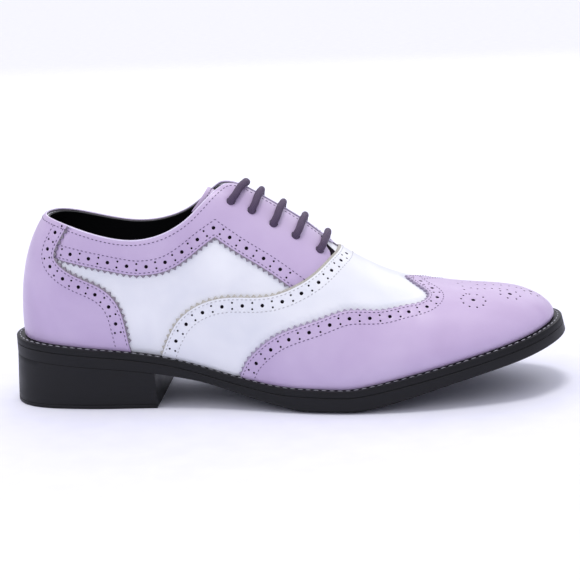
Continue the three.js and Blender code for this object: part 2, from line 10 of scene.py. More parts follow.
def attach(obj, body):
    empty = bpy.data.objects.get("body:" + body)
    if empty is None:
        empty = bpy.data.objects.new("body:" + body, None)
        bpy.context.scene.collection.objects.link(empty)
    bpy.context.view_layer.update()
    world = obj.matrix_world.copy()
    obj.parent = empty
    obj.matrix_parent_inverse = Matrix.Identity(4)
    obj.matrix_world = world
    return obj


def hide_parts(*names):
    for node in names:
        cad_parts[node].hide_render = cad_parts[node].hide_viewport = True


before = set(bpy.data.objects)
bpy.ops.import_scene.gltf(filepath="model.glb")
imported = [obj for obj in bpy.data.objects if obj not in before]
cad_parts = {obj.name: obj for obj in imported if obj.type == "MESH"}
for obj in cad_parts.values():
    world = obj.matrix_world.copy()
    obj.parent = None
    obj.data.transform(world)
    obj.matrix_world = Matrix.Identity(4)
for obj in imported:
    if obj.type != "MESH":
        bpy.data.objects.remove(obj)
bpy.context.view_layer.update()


# Quarters and lining.
# The upper is first a white calf wall with a black lining, pulled tight over a last and cemented
# under the insole. The coloured pieces are laid on it, so it shows only at the sides and inside.

# Sizes in millimetres, X from heel to toe, Y from the outer side to the inner side, Z up
sole_length = 308.0
ball_width = 103.0
heel_height = 27.5
toe_spring = 27.0
outsole_thickness = 8.0
welt_thickness = 3.4
welt_width = 5.8
instep_height = 120.0
collar_height = 105.0
crest_drift = 6.0
seam_gap = 0.3
swell_height = 0.2
quarter_turn = math.pi / 2
shoe_origin = np.array([153.153, -2.047, 0.0])

# Round the plan: at, outer, inner, top of the rib, welt, curve of the rib, swell
stations = np.array([
    [0, 0, 0, 0.228, 1.08, 2.55, 0.05], [0.026, 0.2, 0.2, 0.229, 1.04, 2.65, 0.08],
    [0.098, 0.305, 0.303, 0.237, 0.88, 2.9, 0.35], [0.195, 0.335, 0.328, 0.263, 0.75, 3.1, 0.4],
    [0.29, 0.34, 0.31, 0.3, 0.68, 2.8, 0.4], [0.39, 0.38, 0.3, 0.392, 0.68, 2.2, 0.4],
    [0.487, 0.457, 0.325, 0.487, 0.75, 1.95, 0.4], [0.585, 0.518, 0.41, 0.585, 0.82, 1.95, 0.4],
    [0.68, 0.52, 0.475, 0.675, 0.85, 2.1, 0.4], [0.78, 0.475, 0.48, 0.762, 0.88, 2.25, 0.35],
    [0.864, 0.4, 0.437, 0.822, 0.93, 2.3, 0.3], [0.937, 0.287, 0.357, 0.85, 1, 2.2, 0.2],
    [0.984, 0.117, 0.24, 0.856, 1.05, 2.05, 0.15], [1, -0.065, 0.065, 0.857, 1.1, 2, 0.15]
])

# Along the shoe: share of its length, share of heel height, share of toe spring, share of thickness
sole_rows = np.array([
    [0, 1, 0, 0.8], [0.14, 0.876, 0, 0.78], [0.273, 0.71, 0, 0.74], [0.338, 0.55, 0, 0.72],
    [0.39, 0.385, 0, 0.74], [0.445, 0.205, 0, 0.86], [0.5, 0.06, 0, 1.02], [0.56, -0.04, 0, 1.28],
    [0.62, -0.01, 0, 1.17], [0.675, 0, 0.11, 1.08], [0.77, 0, 0.4, 0.88], [0.89, 0, 0.74, 0.76],
    [1, 0, 1.04, 0.74]
])
crest_rows = np.array([
    [0.15, 1.045], [0.28, 1.015], [0.36, 1], [0.416, 0.978], [0.474, 0.896], [0.536, 0.79],
    [0.571, 0.715], [0.607, 0.645], [0.65, 0.576], [0.705, 0.51], [0.76, 0.474], [0.82, 0.449],
    [0.87, 0.44]
])
topline_rows = np.array([
    [0.05, 1.002, 0], [0.08, 0.995, 0], [0.125, 0.961, 0], [0.18, 0.912, 0], [0.236, 0.7, 0.16],
    [0.295, 0.42, 0.428], [0.345, 0.18, 0.713], [0.378, 0.05, 0.904], [0.4, 0, 0.982],
    [0.43, 0, 0.992]
])


def curve_through(xs, ys):
    """A natural cubic spline through the points."""
    xs = np.asarray(xs, float)
    ys = np.asarray(ys, float)
    last = len(xs) - 1
    steps = np.diff(xs)
    system = np.eye(last + 1)
    right = np.zeros(last + 1)
    for i in range(1, last):
        system[i, i - 1 : i + 2] = steps[i - 1] / 6, (steps[i - 1] + steps[i]) / 3, steps[i] / 6
        right[i] = (ys[i + 1] - ys[i]) / steps[i] - (ys[i] - ys[i - 1]) / steps[i - 1]
    bend = np.linalg.solve(system, right)

    def value(x):
        x = np.asarray(x, float)
        i = np.clip(np.searchsorted(xs, x) - 1, 0, last - 1)
        step = steps[i]
        a = (xs[i + 1] - x) / step
        b = 1 - a
        cubic = ((a**3 - a) * bend[i] + (b**3 - b) * bend[i + 1]) * step**2 / 6
        return a * ys[i] + b * ys[i + 1] + cubic

    return value


def smoothstep(x, low, high):
    share = np.clip((x - low) / (high - low), 0, 1)
    return share * share * (3 - 2 * share)


# Place round the plan: 0 at the back of the heel, 1 at the toe tip, 2 at the heel again
chords = np.hypot(
    np.diff(stations[:, 0]) * sole_length, np.diff(stations[:, 1] + stations[:, 2]) / 2 * ball_width
)
places = np.concatenate([[0], np.cumsum(chords) / chords.sum()])


def around(outer, inner):
    """A closed curve through a value of each station, outer side then inner side."""
    wrap = 4
    tip = len(places) - 1
    xs = np.concatenate([
        -places[wrap:0:-1], places, 2 - places[tip - 1 :: -1], 2 + places[1 : wrap + 1]
    ])
    ys = np.concatenate([inner[wrap:0:-1], outer, inner[tip - 1 :: -1], outer[1 : wrap + 1]])
    return curve_through(xs, ys)


sole_x = around(stations[:, 0] * sole_length, stations[:, 0] * sole_length)
sole_y = around(-stations[:, 1] * ball_width, stations[:, 2] * ball_width)
crest_x = around(stations[:, 3] * sole_length, stations[:, 3] * sole_length)
welt_overhang = around(stations[:, 4] * welt_width, stations[:, 4] * welt_width)
rib_curve = around(stations[:, 5], stations[:, 5])
rib_swell = around(stations[:, 6] * welt_width, stations[:, 6] * welt_width)

sole_underside = curve_through(
    sole_rows[:, 0] * sole_length, sole_rows[:, 1] * heel_height + sole_rows[:, 2] * toe_spring
)
outsole_depth = curve_through(sole_rows[:, 0] * sole_length, sole_rows[:, 3] * outsole_thickness)
crest_z = curve_through(crest_rows[:, 0] * sole_length, crest_rows[:, 1] * instep_height)
topline_z = curve_through(
    topline_rows[:, 0] * sole_length,
    topline_rows[:, 1] * collar_height + topline_rows[:, 2] * instep_height
)


def tread_z(x):
    return np.maximum(sole_underside(x), 0)


def outsole_top(x):
    return sole_underside(x) + outsole_depth(x)


def welt_top(x):
    return outsole_top(x) + seam_gap + welt_thickness


def welt_slope(x):
    return (welt_top(x + 1) - welt_top(x - 1)) / 2


def leaned(x, z):
    """Where the toe springs, the sole's edge is square to the sole and not to the floor."""
    return x - (z - sole_underside(x)) * np.maximum(welt_slope(x), 0)


def plan_point(place, inset):
    """A point of the sole's outline, moved inwards by inset."""
    step = 1e-3
    dx = sole_x(place + step) - sole_x(place - step)
    dy = sole_y(place + step) - sole_y(place - step)
    size = np.hypot(dx, dy)
    return sole_x(place) - dy / size * inset, sole_y(place) + dx / size * inset


def crest_y(x):
    return crest_drift * smoothstep(x, 0.48 * sole_length, 0.86 * sole_length)


# The last is a surface of ribs. Each rises from the feather line to the crest over the foot.
rib_places = np.linspace(0, 2, 2001)
foot_plan_x, foot_y = plan_point(rib_places, welt_overhang(rib_places))
foot_z = welt_top(foot_plan_x) + seam_gap
foot_x = leaned(foot_plan_x, foot_z)
rib_top_x = crest_x(rib_places)
rib_top_y = crest_y(rib_top_x)
rib_table = {
    "foot_x": foot_x, "foot_y": foot_y, "foot_z": foot_z, "top_x": rib_top_x, "top_y": rib_top_y,
    "top_z": crest_z(rib_top_x), "curve": rib_curve(rib_places),
    "swell": rib_swell(rib_places) / np.hypot(foot_x - rib_top_x, foot_y - rib_top_y),
    "lean": crest_z(rib_top_x - 1) - crest_z(rib_top_x + 1), "slope": welt_slope(sole_x(rib_places))
}


def folded(place, rise):
    """Past the crest a rib goes on down the other side."""
    over = rise > quarter_turn
    place = np.where(over, 2 - place, place) % 2
    return place, np.clip(np.where(over, 2 * quarter_turn - rise, rise), 0, quarter_turn)


def rib(place, rise):
    place, rise = folded(*np.broadcast_arrays(np.asarray(place, float), np.asarray(rise, float)))
    row = {key: np.interp(place, rib_places, column) for key, column in rib_table.items()}
    cos = np.maximum(np.cos(rise), 1e-9)
    sin = np.maximum(np.sin(rise), 1e-9)
    radius = (cos ** row["curve"] + sin ** row["curve"]) ** (-1 / row["curve"])
    up = radius * sin
    out = radius * cos * (1 + row["swell"] * up / swell_height * np.exp(1 - up / swell_height))
    return np.stack(
        [
            row["top_x"] + (row["foot_x"] - row["top_x"]) * out,
            row["top_y"] + (row["foot_y"] - row["top_y"]) * out,
            row["foot_z"] + (row["top_z"] - row["foot_z"]) * up
        ],
        -1
    )


def unit(vectors):
    return vectors / np.maximum(np.linalg.norm(vectors, axis=-1, keepdims=True), 1e-9)


def outward(place, rise):
    """The last's normal. At the foot it lies in the welt's surface."""
    place, rise = np.broadcast_arrays(np.asarray(place, float), np.asarray(rise, float))
    step = 2e-3
    along = rib(place + step, rise) - rib(place - step, rise)
    up = rib(place, rise + step) - rib(place, np.maximum(rise - step, 0))
    out = unit(np.cross(along, up))
    home, climb = folded(place, rise)
    lean = np.interp(home, rib_places, rib_table["lean"])
    level = out[..., 0] * np.interp(home, rib_places, rib_table["slope"])
    out[..., 2] = np.where(climb < 1e-6, level, np.maximum(out[..., 2], level))
    crest = unit(np.stack([lean, np.zeros_like(lean), np.full_like(lean, 2.0)], -1))
    return np.where((climb > quarter_turn - 1e-3)[..., None], crest, unit(out))


# Creases of a shoe that has been tried on: from, to, depth, width
creases = [
    ((196, -40, 62), (205, -50, 33), 0.22, 3.0), ((208, -37, 57), (219, -49, 30), 0.16, 3.0),
    ((222, -31, 54), (232, -45, 33), 0.14, 2.6), ((191, -10, 76), (200, -38, 60), 0.2, 3.4),
    ((206, -4, 67), (214, -32, 55), 0.16, 3.0), ((191, 22, 74), (203, 48, 50), 0.2, 3.2),
    ((207, 24, 64), (218, 47, 42), 0.16, 3.0), ((120, -33, 70), (133, -40, 42), 0.18, 4.0),
    ((52, -32, 80), (80, -33, 66), 0.25, 5.0)
]


def folds(spots):
    """How far the leather sinks in its creases and stands up beside them."""
    rise = np.zeros(spots.shape[:-1])
    for start, end, depth, width in creases:
        start = np.array(start, float)
        way = np.array(end, float) - start
        share = np.clip(((spots - start) @ way) / (way @ way), 0, 1)
        away = np.linalg.norm(spots - start - share[..., None] * way, axis=-1)
        fade = np.sin(np.pi * np.clip(share, 0.03, 0.97)) ** 0.7
        trough = -np.exp(-((away / width) ** 2))
        ridge = 0.45 * np.exp(-(((away - 1.9 * width) / width) ** 2))
        rise = rise + depth * fade * (trough + ridge)
    return rise


def leather(place, rise, offset):
    """Points of a layer of leather that lies offset above the last."""
    spots = rib(place, rise)
    return spots + outward(place, rise) * (offset + folds(spots))[..., None]


def in_metres(points):
    return (np.asarray(points, float) - shoe_origin) * 0.001


# Where the wall ends on a rib: the topline, the edge of the facing, or the crest
throat_gap = 6.0
throat_length = 9.0
throat_x = 0.585 * sole_length


def solve(rising, goal, low, high):
    """Where a rising function reaches the goal."""
    for _ in range(44):
        middle = (low + high) / 2
        below = rising(middle) < goal
        low = np.where(below, middle, low)
        high = np.where(below, high, middle)
    return (low + high) / 2


def rise_at(place, reach):
    """How far up a rib lies the point that is reach from the crest across the shoe."""
    place = np.asarray(place, float)
    middle = crest_y(np.interp(place % 2, rib_places, rib_table["top_x"]))
    low, high = np.zeros_like(place), np.full_like(place, quarter_turn)
    return solve(lambda rise: -np.abs(rib(place, rise)[..., 1] - middle), -reach, low, high)


climb_place = float(solve(crest_x, sole_length * 0.33, places[2], 1.0))
throat_place = float(solve(crest_x, throat_x, climb_place, 1.0))


def inner_lift(spots):
    """The topline stands a little higher under the inner ankle."""
    x, y = spots[..., 0], spots[..., 1]
    along_side = smoothstep(x, 45.0, 90.0) * (1 - 0.5 * smoothstep(x, 104.0, 122.0))
    return 2.0 * along_side * smoothstep(y, 0.0, 8.0)


def wall_top(place):
    place = np.asarray(place, float)
    home = np.minimum(place % 2, 2 - place % 2)
    share = np.clip((throat_x - crest_x(home)) / throat_length, 0, 1)
    facing = np.where(
        home > climb_place, rise_at(place, throat_gap / 2 * np.sqrt(share)), quarter_turn
    )

    def over(rise):
        spots = rib(place, rise)
        return spots[..., 2] - topline_z(spots[..., 0]) - inner_lift(spots)

    low = np.zeros_like(place)
    top = np.where(over(facing) <= 0, facing, solve(over, 0, low, facing))
    return np.where(home >= throat_place, quarter_turn, top)


def settle(points, place, rise, seen=(1, 1, 1), rounds=12):
    """The place and rise of the last's points nearest to given ones, in the directions seen."""
    place, rise = np.array(place, float), np.array(rise, float)
    seen = np.array(seen, float)
    step = 1e-3
    for _ in range(rounds):
        low, high = np.maximum(rise - step, 0), rise + step
        across = (rib(place + step, rise) - rib(place - step, rise)) / (2 * step) * seen
        climb = (rib(place, high) - rib(place, low)) / (high - low)[..., None] * seen
        gap = (points - rib(place, rise)) * seen
        a = (across * across).sum(-1) + 1e-3
        b = (across * climb).sum(-1)
        c = (climb * climb).sum(-1) + 1e-3
        g = (gap * across).sum(-1)
        h = (gap * climb).sum(-1)
        det = a * c - b * b + 1e-6
        place = place + np.clip((c * g - b * h) / det, -0.03, 0.03)
        rise = np.maximum(rise + np.clip((a * h - b * g) / det, -0.1, 0.1), 0)
        place, rise = folded(place, rise)
    return place, rise


def arc_lengths(spots):
    return np.concatenate([[0], np.cumsum(np.linalg.norm(np.diff(spots, axis=0), axis=1))])


def along(values, arcs, at):
    """Values known at arcs, read at other arcs."""
    values = np.asarray(values, float)
    if values.ndim == 1:
        return np.interp(at, arcs, values)
    return np.stack([np.interp(at, arcs, column) for column in values.T], -1)


def tree_of(points):
    tree = KDTree(len(points))
    for i, point in enumerate(points):
        tree.insert((*point, 0.0) if len(point) == 2 else point, i)
    tree.balance()
    return tree


def nearest(tree, points):
    """For each point, the number of the tree's nearest point and how far away it is."""
    found = [tree.find((*point, 0.0)[:3]) for point in points]
    return np.array([f[1] for f in found]), np.array([f[2] for f in found])


class Line:
    """A line on the last, with its points close together."""

    def __init__(self, place, rise):
        self.place, self.rise = np.asarray(place, float), np.asarray(rise, float)
        self.spots = rib(self.place, self.rise)
        self.arcs = arc_lengths(self.spots)
        self.length = self.arcs[-1]

    def at(self, arcs):
        """Spots, directions, normals and the sides to the left at arcs along the line."""
        spots = along(self.spots, self.arcs, arcs)
        ahead = along(self.spots, self.arcs, np.minimum(arcs + 0.6, self.length))
        behind = along(self.spots, self.arcs, np.maximum(arcs - 0.6, 0))
        way = unit(ahead - behind)
        place = np.unwrap(self.place, period=2)
        normals = outward(along(place, self.arcs, arcs), along(self.rise, self.arcs, arcs))
        return spots, way, normals, unit(np.cross(normals, way))

    def guess(self, arcs):
        nearest = np.clip(np.searchsorted(self.arcs, arcs), 0, len(self.arcs) - 1)
        return self.place[nearest], self.rise[nearest]

    def beside(self, shift, spacing=0.8):
        """The line moved to its left by shift. Its sharp corners stay sharp."""
        arcs = np.linspace(0, self.length, max(int(self.length / spacing), 2))
        inside = (arcs > 1.2) & (arcs < self.length - 1.2)
        spots = along(self.spots, self.arcs, arcs)
        ahead = unit(along(self.spots, self.arcs, arcs + 1.0) - spots)
        behind = unit(spots - along(self.spots, self.arcs, arcs - 1.0))
        arcs = arcs[~(inside & ((ahead * behind).sum(-1) < 0.8))]
        spots, _, _, left = self.at(arcs)
        moved = spots + left * shift
        clear = nearest(tree_of(self.spots), moved)[1] > 0.93 * abs(shift)
        moved, arcs = moved[clear], arcs[clear]
        steps = np.linalg.norm(np.diff(moved, axis=0), axis=1)
        for j in np.flatnonzero(steps > 2.6 * spacing)[::-1]:
            if j < 4 or j > len(moved) - 6:
                continue
            before, after = unit(moved[j] - moved[j - 3]), unit(moved[j + 1] - moved[j + 4])
            system = np.stack([before, -after], -1)
            reach = np.linalg.lstsq(system, moved[j + 1] - moved[j], rcond=None)[0]
            if reach.min() > 0 and reach.max() < 4 * abs(shift):
                tip = (moved[j] + before * reach[0] + moved[j + 1] + after * reach[1]) / 2
                shares = np.linspace(0, 1, 5)[1:, None]
                bridge = np.concatenate([
                    moved[j] + (tip - moved[j]) * shares, tip + (moved[j + 1] - tip) * shares[:-1]
                ])
                moved = np.insert(moved, j + 1, bridge, axis=0)
                arcs = np.insert(arcs, j + 1, np.full(len(bridge), (arcs[j] + arcs[j + 1]) / 2))
        return Line(*settle(moved, *self.guess(arcs)))

    def mirrored(self):
        """The line on the other side of the shoe."""
        return Line(2 - self.place[::-1], self.rise[::-1])

    def reversed(self):
        return Line(self.place[::-1], self.rise[::-1])


def joined(*lines):
    return Line(np.concatenate([r.place for r in lines]), np.concatenate([r.rise for r in lines]))


def rim_of(side):
    """The topline and the facing's edge of one side, from the heel to the throat."""
    count = 700
    home = np.linspace(1e-4, throat_place, count)
    place = 2 - home if side else home
    rise = wall_top(place)
    spots = rib(place, rise)
    arcs = arc_lengths(spots)
    reach = np.abs(spots[:, 1] - crest_y(rib(place, np.full(count, quarter_turn))[:, 0]))
    corner = int(np.argmax((home > climb_place) & (reach < throat_gap / 2 + 0.02)))
    # The corner is cut round
    back, front = 7.0, 8.0
    middle = arcs[corner]
    share = np.linspace(0, 1, 40)[:, None]
    span = np.linspace(middle - back, middle + front, len(share))
    start, end = along(spots, arcs, span[0]), along(spots, arcs, span[-1])
    bow = (1 - share) ** 2 * start + 2 * share * (1 - share) * spots[corner] + share**2 * end
    bow_place, bow_rise = settle(bow, np.interp(span, arcs, place), np.interp(span, arcs, rise))
    before, after = arcs < middle - back, arcs > middle + front
    return Line(
        np.concatenate([place[before], bow_place, place[after]]),
        np.concatenate([rise[before], bow_rise, rise[after]])
    )


rims = [rim_of(0), rim_of(1)]


def rim_rise(place):
    """The rise of the rounded rim on a rib."""
    place = np.asarray(place, float)
    home = np.minimum(place, 2 - place)
    tops = [np.interp(home, np.minimum(r.place, 2 - r.place), r.rise) for r in rims]
    top = np.where(place <= 1, tops[0], tops[1])
    return np.where(home >= throat_place, quarter_turn, top)


def linear(hex_colour):
    """An sRGB hex colour in linear light."""
    values = [int(hex_colour[i : i + 2], 16) / 255 for i in (1, 3, 5)]
    return tuple(
        v / 12.92 if v <= 0.04045 else ((v + 0.055) / 1.055) ** 2.4 for v in values
    ) + (1.0,)


def add_node(tree, kind, links=(), **settings):
    """A node with its settings and values, and links into its sockets by name or number."""
    node = tree.nodes.new(kind)
    for key, value in settings.items():
        if key == "values":
            for socket, content in value.items():
                node.inputs[socket].default_value = content
        else:
            setattr(node, key, value)
    for socket, source in dict(links).items():
        tree.links.new(source, node.inputs[socket])
    return node


def finish(name, **values):
    """A new material with a Principled shader, and its tree."""
    material = bpy.data.materials.new(name)
    material.use_nodes = True
    shader = material.node_tree.nodes["Principled BSDF"]
    for socket, content in values.items():
        shader.inputs[socket.replace("_", " ")].default_value = content
    return material, material.node_tree, shader


def noise(tree, spot, scale, detail=3.0, roughness=0.5, distortion=0.0):
    """Noise in grains of about 1 / scale metres."""
    values = {"Scale": scale, "Detail": detail, "Roughness": roughness, "Distortion": distortion}
    return add_node(tree, "ShaderNodeTexNoise", {"Vector": spot}, values=values).outputs["Fac"]


def toned(tree, shader, factor, *stops):
    """Colours a shader along a factor. Each stop is a position and a colour."""
    ramp = add_node(tree, "ShaderNodeValToRGB", {"Fac": factor})
    elements = ramp.color_ramp.elements
    for element, (position, colour) in zip(elements, (stops[0], stops[-1])):
        element.position, element.color = position, linear(colour)
    for position, colour in stops[1:-1]:
        elements.new(position).color = linear(colour)
    tree.links.new(ramp.outputs["Color"], shader.inputs["Base Color"])


def bump(tree, height, strength, distance, **links):
    values = {"Strength": strength, "Distance": distance}
    node = add_node(tree, "ShaderNodeBump", {"Height": height, **links}, values=values)
    return node.outputs[0]


def glossed(tree, shader, factor, low, high):
    """The roughness goes from low to high along a factor."""
    values = {"From Min": 0.3, "From Max": 0.7, "To Min": low, "To Max": high}
    gloss = add_node(tree, "ShaderNodeMapRange", {"Value": factor}, values=values)
    tree.links.new(gloss.outputs[0], shader.inputs["Roughness"])


def two_tone(name, low, high, scale, **values):
    """A material whose colour wanders between two close tones, in grains of 1 / scale metres."""
    material, tree, shader = finish(name, **values)
    spot = add_node(tree, "ShaderNodeTexCoord").outputs["Object"]
    toned(tree, shader, noise(tree, spot, scale), (0.35, low), (0.68, high))
    return material


def smooth_calf(name, colour, shade, light, grain):
    """Smooth full-grain calf with a thin pigment finish and a waxed gloss.
    The pores are fine, about 0.7 mm apart, and the colour is a little uneven."""
    material, tree, shader = finish(
        name, Roughness=0.4, IOR=1.5, Coat_Weight=0.18, Coat_Roughness=0.22, Sheen_Weight=0.04
    )
    spot = add_node(tree, "ShaderNodeTexCoord").outputs["Object"]
    # Patches about 40 mm across
    cloud = noise(tree, spot, 24.0, distortion=0.3)
    toned(tree, shader, cloud, (0.3, shade), (0.5, colour), (0.72, light))
    # Pores 0.7 mm apart, and broken wrinkles of the grain, about 2 mm
    pores = add_node(
        tree, "ShaderNodeTexVoronoi", {"Vector": spot}, feature="SMOOTH_F1",
        values={"Scale": 1450.0, "Smoothness": 0.6, "Randomness": 1.0}
    )
    wrinkles = noise(tree, spot, 480.0, 4.0, 0.6, 0.6)
    relief = add_node(
        tree, "ShaderNodeMath", {0: pores.outputs["Distance"], 2: wrinkles},
        operation="MULTIPLY_ADD", values={1: 0.6}
    )
    uneven = bump(tree, cloud, 0.12, 0.002)
    grained = bump(tree, relief.outputs[0], grain, 0.00012, Normal=uneven)
    glossed(tree, shader, wrinkles, 0.34, 0.47)
    for socket in ("Normal", "Coat Normal"):
        tree.links.new(grained, shader.inputs[socket])
    return material


white_calf = smooth_calf("white smooth calf", "#eceef4", "#e2e5ee", "#f5f7fb", 0.3)
lining_hide, lining_tree, lining_shader = finish(
    "black glazed lining hide", Base_Color=linear("#08080a"), Roughness=0.5, IOR=1.5,
    Specular_IOR_Level=0.3
)
lining_spot = add_node(lining_tree, "ShaderNodeTexCoord").outputs["Object"]
lining_bump = bump(lining_tree, noise(lining_tree, lining_spot, 900.0, roughness=0.6), 0.3, 0.0001)
lining_tree.links.new(lining_bump, lining_shader.inputs["Normal"])


def linked(name, data):
    """A new object in the scene."""
    thing = bpy.data.objects.new(name, data)
    bpy.context.scene.collection.objects.link(thing)
    return thing


def made(name, points, faces, materials, finishes=None, sharp=50):
    """A piece from points in shoe millimetres. finishes are the numbers of its faces' materials."""
    mesh = bpy.data.meshes.new(name)
    mesh.from_pydata([tuple(p) for p in in_metres(points)], [], faces)
    for material in materials:
        mesh.materials.append(material)
    if finishes is not None:
        mesh.polygons.foreach_set("material_index", finishes)
    mesh.polygons.foreach_set("use_smooth", [True] * len(faces))
    mesh.update()
    mesh.set_sharp_from_angle(angle=math.radians(sharp))
    return linked(name, mesh)


def wall(name, inner_offset, outer_offset, lower, material):
    """A closed shell of leather round the whole last, its top lower below the rim."""
    levels = 44
    home = np.concatenate([
        np.linspace(0, throat_place, 170)[:-1], np.linspace(throat_place, 1, 131)
    ])
    place = np.concatenate([home, 2 - home[-2:0:-1]])
    top = rim_rise(place)
    open_top = np.minimum(place, 2 - place) < throat_place - 1e-6
    grid_place = np.repeat(place[:, None], levels + 1, 1)
    grid_rise = top[:, None] * np.linspace(0, 1, levels + 1) ** 0.9
    # The top row stands lower than the rim
    last_tenth = np.diff(rib(place[:, None], top[:, None] * [0.9, 1.0]), axis=1)
    lowered = lower / np.linalg.norm(last_tenth, axis=-1)[:, 0] * 0.1 * top
    grid_rise[:, -1] -= np.where(open_top, lowered, 0)
    points = np.stack([
        leather(grid_place, grid_rise, offset) for offset in (outer_offset, inner_offset)
    ])
    count = len(place)
    index = np.arange(2 * count * (levels + 1)).reshape(2, count, levels + 1)
    # Before the throat both sides meet on the crest and share its points
    for i in np.flatnonzero(~open_top):
        index[:, i, -1] = index[:, min(i, (count - i) % count), -1]
    faces = []
    for i in range(count):
        n = (i + 1) % count
        (outer, inner), (outer_next, inner_next) = index[:, i].tolist(), index[:, n].tolist()
        for j in range(levels):
            faces.append([outer[j], outer_next[j], outer_next[j + 1], outer[j + 1]])
            faces.append([inner[j + 1], inner_next[j + 1], inner_next[j], inner[j]])
        faces.append([outer_next[0], outer[0], inner[0], inner_next[0]])
        if open_top[i] or open_top[n]:
            faces.append([outer[-1], outer_next[-1], inner_next[-1], inner[-1]])
    used, corners = np.unique(np.concatenate(faces), return_inverse=True)
    clean = [list(dict.fromkeys(face)) for face in corners.reshape(-1, 4).tolist()]
    clean = [face for face in clean if len(face) > 2]
    return made(name, points.reshape(-1, 3)[used], clean, [material])


quarters = wall("quarter_wall", -0.9, 0.0, 0.9, white_calf)
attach(quarters, "root")
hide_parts("upper")
lining = wall("black_lining", -1.8, -0.95, 0.1, lining_hide)
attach(lining, "root")
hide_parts("upper")


# Wing cap.
# The toe is covered by a lavender calf cap whose edge peaks on the crest and sweeps back along both
# sides. Its edge is pinked, and a band of punched holes runs between two rows of stitches.

# Sizes in millimetres, as measured along the leather
tooth_pitch, tooth_depth, plain_depth = 3.45, 1.75, 1.45
row_near, band_middle, row_far = 1.1, 4.4, 7.7
big_hole, small_hole, pair_half = 1.02, 0.6, 1.65
under_lap = 3.2

# The pattern is the upper unrolled from its crest. It is only used to cut the pieces out.
pattern_places = np.linspace(0, 2, 801)
pattern_rises = np.linspace(0, quarter_turn, 121)
pattern_grid = rib(pattern_places[:, None], pattern_rises[None, :])
pattern_steps = np.linalg.norm(np.diff(pattern_grid, axis=1), axis=-1)
pattern_down = np.concatenate(
    [np.cumsum(pattern_steps[:, ::-1], axis=1)[:, ::-1], np.zeros((len(pattern_places), 1))], axis=1
)
rib_way = unit(
    np.stack(
        [rib_table["foot_x"] - rib_table["top_x"], rib_table["foot_y"] - rib_table["top_y"]], -1
    )
)


def flat(place, rise):
    """Where a point of the last lies on the unrolled pattern."""
    place, rise = folded(np.asarray(place, float), np.asarray(rise, float))
    i = place / 2 * (len(pattern_places) - 1)
    j = rise / quarter_turn * (len(pattern_rises) - 1)
    i0 = np.clip(i.astype(int), 0, len(pattern_places) - 2)
    j0 = np.clip(j.astype(int), 0, len(pattern_rises) - 2)
    a, b = i - i0, j - j0
    down = (
        (1 - a) * (1 - b) * pattern_down[i0, j0] + a * (1 - b) * pattern_down[i0 + 1, j0] + (
            1 - a
        ) * b * pattern_down[i0, j0 + 1] + a * b * pattern_down[i0 + 1, j0 + 1]
    )
    top_x = np.interp(place, rib_places, rib_table["top_x"])
    top_y = np.interp(place, rib_places, rib_table["top_y"])
    way = unit(np.stack([np.interp(place, rib_places, c) for c in rib_way.T], -1))
    return np.stack([top_x + way[..., 0] * down, top_y + way[..., 1] * down], -1)


# Points all over the last, about 1.8 mm apart
cloud_spacing = 1.8
cloud = []
for k, place in enumerate(np.arange(0, 2, 0.0051)):
    down = np.array([np.interp(place, pattern_places, column) for column in pattern_down.T])
    count = int(down[0] / cloud_spacing)
    wanted = (np.arange(count) + (0.5 if k % 2 else 0.0)) * down[0] / count
    cloud.extend((place, rise) for rise in np.interp(wanted, down[::-1], pattern_rises[::-1]))
cloud = np.array(cloud)
cells = np.floor(rib(cloud[:, 0], cloud[:, 1]) / 1.3).astype(int)
cloud = cloud[np.unique(cells, axis=0, return_index=True)[1]]
cloud_flat = flat(cloud[:, 0], cloud[:, 1])
cloud_spots = rib(cloud[:, 0], cloud[:, 1])
cloud_tree = tree_of(cloud_flat)


def unflat(targets):
    """The place and rise of points of the pattern."""
    place, rise = cloud[nearest(cloud_tree, targets)[0]].T
    for _ in range(10):
        across = (flat(place + 2e-3, rise) - flat(place - 2e-3, rise)) / 4e-3
        low, high = np.maximum(rise - 0.01, 0), rise + 0.01
        climb = (flat(place, high) - flat(place, low)) / (high - low)[:, None]
        gap = targets - flat(place, rise)
        det = across[:, 0] * climb[:, 1] - across[:, 1] * climb[:, 0]
        det = np.where(np.abs(det) < 1e-3, 1e-3, det)
        move = (gap[:, 0] * climb[:, 1] - gap[:, 1] * climb[:, 0]) / det
        rest = (across[:, 0] * gap[:, 1] - across[:, 1] * gap[:, 0]) / det
        place = place + np.clip(move, -0.02, 0.02)
        rise = np.maximum(rise + np.clip(rest, -0.06, 0.06), 0)
        place, rise = folded(place, rise)
    return place, rise


def inside(points, polygon):
    """Which points lie in a closed polygon of the pattern."""
    answer = np.zeros(len(points), bool)
    near = np.all((points >= polygon.min(0)) & (points <= polygon.max(0)), axis=1)
    x, y = points[near, 0], points[near, 1]
    odd = np.zeros(len(x), bool)
    for (ax, ay), (bx, by) in zip(polygon, np.roll(polygon, -1, axis=0)):
        if ay == by:
            continue
        crossing = (ay > y) != (by > y)
        odd ^= crossing & (x < ax + (y - ay) / (by - ay) * (bx - ax))
    answer[near] = odd
    return answer


def on_crest(x):
    return x, float(crest_y(x))


